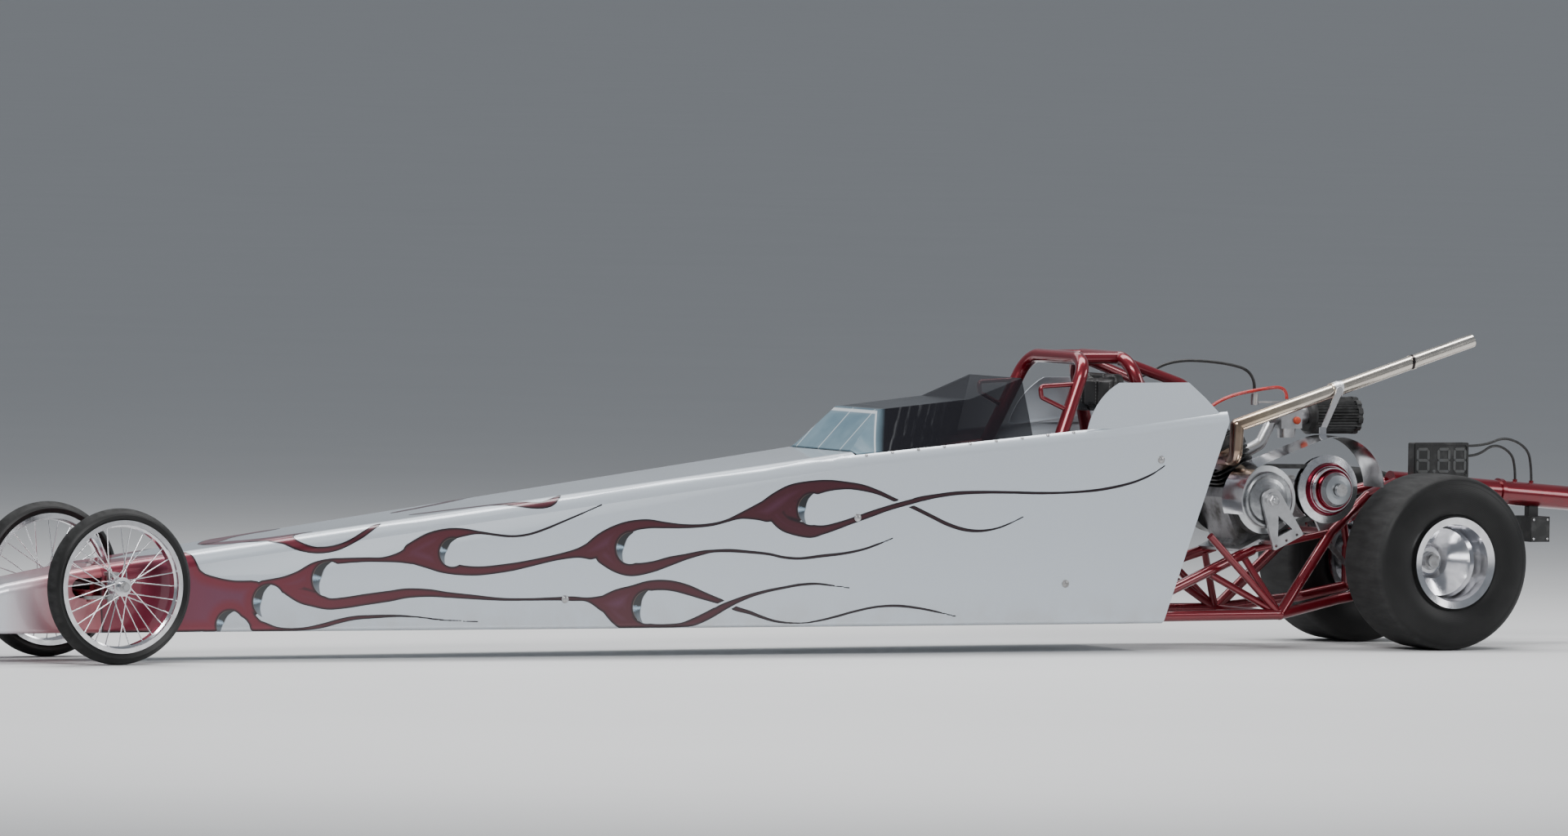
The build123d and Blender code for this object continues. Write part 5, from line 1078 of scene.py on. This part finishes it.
# How far the border seams lie inside the pads' edges, and the head pad's channels from its middle
SEAT_BORDER = 0.030
HEAD_BORDER = 0.018
HEAD_CHANNEL = 0.036
# How far each pad may swell on its front, and both elsewhere
SEAT_SWELL = 0.0125
HEAD_SWELL = 0.012
OTHER_SWELL = 0.002
CLOTH_FRAMES = 20
# How squarely a surface faces the pad's front where it may swell, where a seam starts to pull and how soon
# it pulls fully, and how strongly a seam pulls where it shows stitches
FRONT_FACING = 0.4
SEAM_START = 0.2
SEAM_RISE = 0.5
STITCHED = 0.3


def seat_place(x, z):
    """Distance along the seat pad's line, and the way that the pad's front faces there."""
    best = None
    run_so_far = 0.0
    for (ax, az), (bx, bz) in zip(SEAT_LINE, SEAT_LINE[1:]):
        length = math.hypot(bx - ax, bz - az)
        along_x, along_z = (bx - ax) / length, (bz - az) / length
        share = max(0.0, min(length, (x - ax) * along_x + (z - az) * along_z))
        distance = math.hypot(x - ax - share * along_x, z - az - share * along_z)
        if best is None or distance < best[0]:
            best = (distance, run_so_far + share, (-along_z, along_x))
        run_so_far += length
    return best[1:]


def baked(thing):
    """Applies every modifier of an object to a new mesh."""
    depsgraph = bpy.context.evaluated_depsgraph_get()
    mesh = bpy.data.meshes.new_from_object(thing.evaluated_get(depsgraph))
    thing.modifiers.clear()
    thing.data = mesh
    return mesh


def cushion(name, node, shrink, voxel, pressure, limit):
    """A pad blown up from its solid: limit says how far each point may move from where it starts."""
    mesh = nodes[node].data.copy()
    mesh.materials.clear()
    thing = bpy.data.objects.new(name, mesh)
    bpy.context.scene.collection.objects.link(thing)
    remesh = thing.modifiers.new("even faces", "REMESH")
    remesh.mode = "VOXEL"
    remesh.voxel_size = voxel
    mesh = baked(thing)
    starts = [vertex.co - shrink * vertex.normal for vertex in mesh.vertices]
    for vertex, start in zip(mesh.vertices, starts):
        vertex.co = start
    mesh.update()
    ways = [vertex.normal.copy() for vertex in mesh.vertices]
    cloth = thing.modifiers.new("stuffing", "CLOTH")
    cloth.settings.quality = 4
    cloth.settings.mass = 0.15
    cloth.settings.use_pressure = True
    cloth.settings.uniform_pressure_force = pressure
    cloth.settings.effector_weights.gravity = 0.0
    cloth.point_cache.frame_start = 1
    cloth.point_cache.frame_end = CLOTH_FRAMES
    for step in range(1, CLOTH_FRAMES + 1):
        bpy.context.scene.frame_set(step)
    mesh = baked(thing)
    bpy.context.scene.frame_set(1)
    for vertex, start, way in zip(mesh.vertices, starts, ways):
        move = vertex.co - start
        most = limit(start, way)
        if move.length > most:
            vertex.co = start + move.normalized() * most
    divide = thing.modifiers.new("finer faces", "SUBSURF")
    divide.levels = 1
    mesh = baked(thing)
    mesh.shade_smooth()
    return thing, mesh


def facing_share(toward):
    """How strongly a seam pulls, from how squarely the surface faces the pad's front."""
    return max(0.0, min(1.0, (toward - SEAM_START) / SEAM_RISE))


def sew(mesh, seams_at, depth, width):
    """Pulls the seams in, and keeps each point's distance to a seam and place along it for the stitches."""
    seam_values, run_values = [], []
    normals = [vertex.normal.copy() for vertex in mesh.vertices]
    for vertex, normal in zip(mesh.vertices, normals):
        distance, run, strength = seams_at(vertex.co, normal)
        vertex.co = vertex.co - normal * depth * strength * math.exp(-(distance / width) ** 2)
        seam_values.append(distance if strength > STITCHED else 1.0)
        run_values.append(run)
    for key, values in (("seam", seam_values), ("run", run_values)):
        layer = mesh.attributes.new(key, "FLOAT", "POINT")
        layer.data.foreach_set("value", values)
    mesh.update()


# Small fittings

# The bars of one place of a display: middle across and up, in its widths and heights, and whether it stands
PLACE_BARS = [
    (0.5, 1.0, False), (0.5, 0.5, False), (0.5, 0.0, False),
    (0.0, 0.75, True), (1.0, 0.75, True), (0.0, 0.25, True), (1.0, 0.25, True),
]
# The display's three places and its dot, in pitches from the first place, and the pitches that fill its face
PLACES = (0.0, 1.3, 2.3)
DOT_PLACE = 0.70
FACE_PITCHES = 3.4
# Each place's width to its height, and how far the bars start in front of the face
PLACE_WIDTH = 0.56
FACE_GAP = 0.0001
BAR_GAP = 0.0015
BAR_DEPTH = 0.0012
RIM_INSET = 0.0025
RIM_WIDTH = 0.004
RIM_DEPTH = 0.002
RIM_SCREW_INSET = 0.006
# Turned profiles: distance along and radius
BODY_BUTTON = [
    (-0.001, 0.0100), (0.0012, 0.0100), (0.0016, 0.0088), (0.0012, 0.0076), (0.0026, 0.0062),
    (0.0031, 0.0030)]
CAP = [(0.0, 0.0085), (0.006, 0.0100), (0.011, 0.0100), (0.014, 0.0088), (0.0155, 0.0055)]
CAP_SEAT = (1.418, -0.0300, 0.588)
# The drive clutch's nut on the support plate: (x, z)
CLUTCH_NUT = (1.260, 0.388)
# The control box's screws: how far in from its sides and bottom, and the upper pair's height over the lower
BOX_SCREW_INSET = 0.008
BOX_SCREW_RISE = 0.050
# The way out of the car's left side
LEFT_WAY = (0.0, -1.0, 0.0)


# Stage

# Soft lights: place, aim, size along and across, watts
SOFT_LIGHTS = (
    ("key", (-3.2, -5.5, 5.2), (0.1, 0.0, 0.35), 5.0, 2.2, 470.0),
    ("overhead", (0.2, 0.6, 4.6), (0.0, 0.0, 0.3), 6.5, 1.6, 300.0),
    ("tail_fill", (5.5, -3.0, 2.4), (1.5, 0.0, 0.4), 2.6, 1.6, 80.0),
    ("far_fill", (0.5, 4.6, 5.4), (0.2, 0.0, 0.3), 6.0, 2.0, 80.0),
)
SKY_COLOUR = (0.80, 0.86, 0.94, 1.0)
SKY_STRENGTH = 0.30
FLOOR_HALF_SIDE = 400.0
SENSOR_WIDTH = 36.0
CAMERA_AIM = Vector((FRONT_AXLE_X + 1.9926, 0.0, 0.5986))


def add_floor(scene, colour):
    """A wide plain floor with a faint speckle."""
    mesh = mesh_from("floor", lambda work: bmesh.ops.create_grid(
        work, x_segments=8, y_segments=8, size=FLOOR_HALF_SIDE))
    floor = bpy.data.objects.new("floor", mesh)
    scene.collection.objects.link(floor)
    finish = Finish("floor paint")
    speck = finish.noise(1.2, 4.0)
    tint = finish.blend(finish.remap(speck, 0.3, 0.7) * 0.08, colour, grey(0.5))
    mesh.materials.append(finish.surface(Base_Color=tint, Roughness=0.7))


def add_sky(scene):
    """An even pale light from all round."""
    world = bpy.data.worlds.new("studio")
    scene.world = world
    world.use_nodes = True
    sky = world.node_tree.nodes["Background"]
    sky.inputs["Color"].default_value = SKY_COLOUR
    sky.inputs["Strength"].default_value = SKY_STRENGTH


def add_lights(scene):
    for name, place, aim, wide, tall, watts in SOFT_LIGHTS:
        light = bpy.data.lights.new(name, "AREA")
        light.shape = "RECTANGLE"
        light.size = wide
        light.size_y = tall
        light.energy = watts
        lamp = bpy.data.objects.new(name, light)
        scene.collection.objects.link(lamp)
        lamp.matrix_world = facing(Vector(place), Vector(place) - Vector(aim))


def add_camera(scene, settings):
    """The camera, turned about the point that it looks at."""
    azimuth, elevation, roll = settings.azimuth, settings.elevation, settings.roll
    level = math.cos(elevation)
    back = Vector((math.sin(azimuth) * level, -math.cos(azimuth) * level, math.sin(elevation)))
    right = Vector((math.cos(azimuth), math.sin(azimuth), 0.0))
    up = back.cross(right)
    across = right * math.cos(roll) + up * math.sin(roll)
    rise = up * math.cos(roll) - right * math.sin(roll)
    data = bpy.data.cameras.new("camera")
    data.lens = settings.focal_length
    data.sensor_width = SENSOR_WIDTH
    data.clip_end = 1000.0
    camera = bpy.data.objects.new("camera", data)
    scene.collection.objects.link(camera)
    turn = Matrix((across, rise, back)).transposed().to_4x4()
    camera.matrix_world = Matrix.Translation(CAMERA_AIM + back * settings.camera_distance) @ turn
    scene.camera = camera


# Settings


class StageSettings(bpy.types.PropertyGroup):
    focal_length: bpy.props.FloatProperty(
        name="Focal length", description="Focal length of the camera in millimetres", default=374.04,
        min=20.0)
    camera_distance: bpy.props.FloatProperty(
        name="Camera distance", description="Distance from the camera to the middle of the car", default=41.6,
        unit="LENGTH")
    azimuth: bpy.props.FloatProperty(
        name="Azimuth", description="How far the camera stands round towards the nose",
        default=math.radians(-28.958), unit="ROTATION")
    elevation: bpy.props.FloatProperty(
        name="Elevation", description="How far the camera looks down", default=math.radians(2.099),
        unit="ROTATION")
    roll: bpy.props.FloatProperty(
        name="Roll", description="Tilt of the camera about its own axis", default=math.radians(0.912),
        unit="ROTATION")
    floor_colour: bpy.props.FloatVectorProperty(
        name="Floor colour", description="Colour of the plain floor", default=(0.70, 0.70, 0.70), size=3,
        subtype="COLOR", min=0.0, max=1.0)


class FlameSettings(bpy.types.PropertyGroup):
    spacing: bpy.props.FloatProperty(
        name="Spacing", description="Distance between the points of the painted flames", default=0.0034,
        unit="LENGTH", min=0.002)


class PaddingSettings(bpy.types.PropertyGroup):
    voxel: bpy.props.FloatProperty(
        name="Face size", description="Size of the faces that the pads are blown up from", default=0.006,
        unit="LENGTH", min=0.004)
    pressure: bpy.props.FloatProperty(
        name="Pressure", description="How hard the pads are stuffed", default=4.0)
    seam_depth: bpy.props.FloatProperty(
        name="Seam depth", description="How deep the sewn channels lie", default=0.0045, unit="LENGTH")


class BoardSettings(bpy.types.PropertyGroup):
    place_height: bpy.props.FloatProperty(
        name="Place height", description="Height of each place of the switched-off display", default=0.058,
        unit="LENGTH")
    bar_width: bpy.props.FloatProperty(
        name="Bar width", description="Width of each bar of the display", default=0.0075, unit="LENGTH")


class FastenerSettings(bpy.types.PropertyGroup):
    radius: bpy.props.FloatProperty(
        name="Radius", description="Radius of the body's button fasteners", default=0.0045, unit="LENGTH")
    pitch: bpy.props.FloatProperty(
        name="Pitch", description="Distance between the buttons along the shoulder", default=0.075,
        unit="LENGTH")


# Operators


class CAR_OT_stage(bpy.types.Operator):
    """Adds the floor, the soft lights and the camera"""

    bl_idname = "car.stage"
    bl_label = "Stage"

    def execute(self, context):
        add_floor(context.scene, tuple(context.scene.car_stage.floor_colour))
        add_sky(context.scene)
        add_lights(context.scene)
        add_camera(context.scene, context.scene.car_stage)
        return {"FINISHED"}


class CAR_OT_finishes(bpy.types.Operator):
    """Gives every carried-over node its finish"""

    bl_idname = "car.finishes"
    bl_label = "Finishes"

    def execute(self, context):
        slots = {row["node"]: row["material_slot"] for row in frame["record"]["subparts"]}
        for name, thing in nodes.items():
            slot_name = slots[name]
            if slot_name == "tyre_rubber":
                low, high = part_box(name)
                tread = REAR_TREAD if "rear" in name else TREAD
                material = tyre_rubber(name.replace("_", " "), middle_of(name), (high.z - low.z) / 2, tread)
            elif name in NODE_FINISHES:
                material = finish_of(name, NODE_FINISHES[name])
            else:
                material = finish_of(slot_name)
            thing.data.materials.clear()
            thing.data.materials.append(material)
        return {"FINISHED"}


class CAR_OT_cords(bpy.types.Operator):
    """Lays the fuel line, the vent hose and the board's two wires"""

    bl_idname = "car.cords"
    bl_label = "Hoses and wires"

    def execute(self, context):
        for name in CORD_ROUTES:
            cord_piece(name)
        return {"FINISHED"}


class CAR_OT_flames(bpy.types.Operator):
    """Paints the flames on both flanks and over the shoulders"""

    bl_idname = "car.flames"
    bl_label = "Flames"

    def execute(self, context):
        paint = finish_of("flame_paint", flame_paint)
        shade = finish_of("drop_shade", drop_shade_paint)
        mask = flame_mask(context.scene.car_flames.spacing)
        for side, word in ((-1, "left"), (1, "right")):
            piece("flames_" + word, mask.mesh("flames_" + word, side), paint)
            piece("drop_shades_" + word, drop_shades("drop_shades_" + word, side), shade)
        return {"FINISHED"}


class CAR_OT_fasteners(bpy.types.Operator):
    """Sets the small buttons and the large round fasteners into the body"""

    bl_idname = "car.fasteners"
    bl_label = "Body fasteners"

    def execute(self, context):
        settings = context.scene.car_fasteners
        radius = settings.radius
        slope = math.sqrt(0.5)

        def build(work):
            for side in (-1, 1):
                station, last = SHOULDER_ROW
                while station < last:
                    half = along_sections(station, 1)
                    top = along_sections(station, 2)
                    point = (FRONT_AXLE_X + station, side * (half - ROW_INSET), top - ROW_INSET)
                    add_dome(work, facing(point, (0.0, side * slope, slope)), radius, height=0.0022)
                    station += settings.pitch
                for station, height in SHIELD_BUTTONS:
                    rise = (height - SHIELD_FOOT[1]) * math.tan(SHIELD_LEAN)
                    point = (FRONT_AXLE_X + station, side * (SHIELD_FOOT[0] - rise), height)
                    add_dome(work, facing(point, (0.0, side, math.sin(SHIELD_LEAN))), radius, height=0.0024)
                for station, height in BODY_BUTTONS:
                    add_turned(work, on_skin(station, height, side, 0.0003), (0.0, side, 0.0), BODY_BUTTON)
        piece("body_fasteners", mesh_from("body_fasteners", build), finish_of("steel"))
        return {"FINISHED"}


class CAR_OT_padding(bpy.types.Operator):
    """Stuffs and stitches the seat pad and the head pad"""

    bl_idname = "car.padding"
    bl_label = "Padding"

    def execute(self, context):
        settings = context.scene.car_padding
        vinyl = finish_of("stitched_vinyl", stitched_vinyl)

        low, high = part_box("seat_pad")
        seat_half = (high.y - low.y) / 2
        total = sum(math.dist(a, b) for a, b in zip(SEAT_LINE, SEAT_LINE[1:]))
        channels = FRONT_CHANNELS + [total - BACK_CHANNEL_PITCH * (k + 1) for k in range(BACK_CHANNELS)]

        def seat_limit(start, way):
            _, face = seat_place(start.x, start.z)
            return SEAT_SWELL if way.x * face[0] + way.z * face[1] > FRONT_FACING else OTHER_SWELL

        def seat_seams(spot, normal):
            along, face = seat_place(spot.x, spot.z)
            strength = facing_share(normal.x * face[0] + normal.z * face[1])
            across = min(abs(along - channel) for channel in channels)
            border = seat_half - SEAT_BORDER - abs(spot.y)
            if border < 0:
                return -border, along, strength
            if across < border:
                return across, spot.y, strength
            return border, along, strength

        thing, mesh = cushion(
            "seat_pad_cushion", "seat_pad", shrink=0.0045, voxel=settings.voxel, pressure=settings.pressure,
            limit=seat_limit)
        sew(mesh, seat_seams, settings.seam_depth, width=0.006)
        self.dress(thing, mesh, "seat_pad", vinyl, 0.6)

        low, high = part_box("head_pad")
        middle = middle_of("head_pad")
        half_y, half_z = (high.y - low.y) / 2, (high.z - low.z) / 2

        def head_limit(start, way):
            return HEAD_SWELL if -way.x > FRONT_FACING else OTHER_SWELL

        def head_seams(spot, normal):
            strength = facing_share(-normal.x)
            border = min(half_y - HEAD_BORDER - abs(spot.y), half_z - HEAD_BORDER - abs(spot.z - middle.z))
            channel = abs(abs(spot.y) - HEAD_CHANNEL)
            if abs(border) < channel:
                return abs(border), spot.y + spot.z, strength
            return channel, spot.z, strength

        thing, mesh = cushion(
            "head_pad_cushion", "head_pad", shrink=0.004, voxel=min(settings.voxel, 0.005),
            pressure=settings.pressure, limit=head_limit)
        sew(mesh, head_seams, settings.seam_depth, width=0.005)
        self.dress(thing, mesh, "head_pad", vinyl, 0.7)
        return {"FINISHED"}

    def dress(self, thing, mesh, node, material, fill):
        """Gives a pad its vinyl and puts it in the place of its solid."""
        mesh.materials.clear()
        mesh.materials.append(material)
        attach(thing, CHASSIS)
        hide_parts(node)


class CAR_OT_board(bpy.types.Operator):
    """Fills the dial-in board with a plain display that is switched off, and adds its rim and screws"""

    bl_idname = "car.board"
    bl_label = "Dial-in board"

    def execute(self, context):
        settings = context.scene.car_board
        low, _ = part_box("dial_board")
        face_y = low.y - FACE_GAP
        left, right, bottom, top = BOARD_FACE
        middle_x, middle_z = (left + right) / 2, (bottom + top) / 2
        tall = settings.place_height
        wide = PLACE_WIDTH * tall
        pitch = (right - left) / FACE_PITCHES
        first = middle_x - PLACES[-1] / 2 * pitch

        def bars(work):
            upright = Matrix.Rotation(math.pi / 2, 4, "X")
            for place in PLACES:
                start = first + place * pitch - wide / 2
                for across, up, stands in PLACE_BARS:
                    spot = (start + across * wide, face_y, middle_z - tall / 2 + up * tall)
                    turn = Matrix.Rotation(math.pi / 2, 4, "Z") if stands else Matrix.Identity(4)
                    matrix = Matrix.Translation(spot) @ upright @ turn
                    length = (tall / 2 if stands else wide) - BAR_GAP
                    add_bar(work, matrix, length, settings.bar_width, BAR_DEPTH)
            dot = (first + DOT_PLACE * pitch, face_y, middle_z - tall / 2)
            add_dome(work, facing(dot, LEFT_WAY), settings.bar_width * 0.6, BAR_DEPTH)
        bar_finish = finish_of("lamp_bars", lamp_bars)
        piece("board_figures", mesh_from("board_figures", bars), bar_finish, smooth=False)

        def inwards(loop, way):
            """Each point of a loop, moved towards the middle of the board."""
            return [
                (x + math.copysign(way, middle_x - x), z + math.copysign(way, middle_z - z)) for x, z in loop]

        def rim(work):
            outer = inwards([(left, bottom), (right, bottom), (right, top), (left, top)], RIM_INSET)
            inner = inwards(outer, RIM_WIDTH)
            steps = [(0.0, outer), (RIM_DEPTH, outer), (RIM_DEPTH, inner), (0.0, inner)]
            for (lift_a, loop_a), (lift_b, loop_b) in zip(steps, steps[1:]):
                near = [work.verts.new((x, face_y - lift_a, z)) for x, z in loop_a]
                far = [work.verts.new((x, face_y - lift_b, z)) for x, z in loop_b]
                for i in range(4):
                    j = (i + 1) % 4
                    work.faces.new((near[i], near[j], far[j], far[i]))
            for x, z in inwards(outer, RIM_SCREW_INSET):
                add_dome(work, facing((x, face_y, z), LEFT_WAY), radius=0.0028, height=0.0018, segments=12)
            bmesh.ops.remove_doubles(work, verts=work.verts, dist=0.00001)
        rim_finish = finish_of("black_plastic")
        piece("board_rim", mesh_from("board_rim", rim), rim_finish, smooth=False)
        return {"FINISHED"}


class CAR_OT_engine_fittings(bpy.types.Operator):
    """Adds the carburettor's cap, the clutch's nut and the control box's screws"""

    bl_idname = "car.engine_fittings"
    bl_label = "Engine fittings"

    def execute(self, context):
        def cap(work):
            add_turned(work, CAP_SEAT, LEFT_WAY, CAP)
        cap_finish = finish_of("orange_cap", orange_cap)
        piece("carburettor_cap", mesh_from("carburettor_cap", cap), cap_finish)

        def nuts(work):
            low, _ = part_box("support_plate")
            add_nut(work, (CLUTCH_NUT[0], low.y, CLUTCH_NUT[1]), LEFT_WAY, radius=0.0150, height=0.0080)
        piece("clutch_nuts", mesh_from("clutch_nuts", nuts), finish_of("steel"), smooth=False)

        def screws(work):
            low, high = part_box("control_box")
            lower = low.z + BOX_SCREW_INSET
            for x in (low.x + BOX_SCREW_INSET, high.x - BOX_SCREW_INSET):
                for z in (lower, lower + BOX_SCREW_RISE):
                    for side, y in ((-1, low.y), (1, high.y)):
                        seat = facing((x, y, z), (0.0, side, 0.0))
                        add_dome(work, seat, radius=0.0034, height=0.0020, segments=12)
        piece("box_screws", mesh_from("box_screws", screws), finish_of("steel"))
        return {"FINISHED"}


class CAR_PT_panel(bpy.types.Panel):
    """Lists the steps that dress the car"""

    bl_idname = "CAR_PT_panel"
    bl_label = "Race car"
    bl_space_type = "VIEW_3D"
    bl_region_type = "UI"
    bl_category = "Race car"

    def draw(self, context):
        for operator in OPERATORS:
            self.layout.operator(operator.bl_idname)
        for group in SETTINGS:
            box = self.layout.box()
            settings = getattr(context.scene, group)
            for key in settings.bl_rna.properties.keys():
                if key not in ("rna_type", "name"):
                    box.prop(settings, key)


OPERATORS = (
    CAR_OT_stage, CAR_OT_cords, CAR_OT_finishes, CAR_OT_flames, CAR_OT_fasteners, CAR_OT_padding,
    CAR_OT_board, CAR_OT_engine_fittings)
SETTINGS = {
    "car_stage": StageSettings,
    "car_flames": FlameSettings,
    "car_fasteners": FastenerSettings,
    "car_padding": PaddingSettings,
    "car_board": BoardSettings,
}


def register():
    for group in SETTINGS.values():
        bpy.utils.register_class(group)
    for operator in OPERATORS:
        bpy.utils.register_class(operator)
    bpy.utils.register_class(CAR_PT_panel)
    for name, group in SETTINGS.items():
        setattr(bpy.types.Scene, name, bpy.props.PointerProperty(type=group))


def unregister():
    for name in SETTINGS:
        delattr(bpy.types.Scene, name)
    bpy.utils.unregister_class(CAR_PT_panel)
    for operator in reversed(OPERATORS):
        bpy.utils.unregister_class(operator)
    for group in SETTINGS.values():
        bpy.utils.unregister_class(group)


def main():
    register()
    bpy.ops.car.stage()
    bpy.ops.car.cords()
    bpy.ops.car.finishes()
    bpy.ops.car.flames()
    bpy.ops.car.fasteners()
    bpy.ops.car.padding()
    bpy.ops.car.board()
    bpy.ops.car.engine_fittings()


if __name__ == "__main__":
    main()
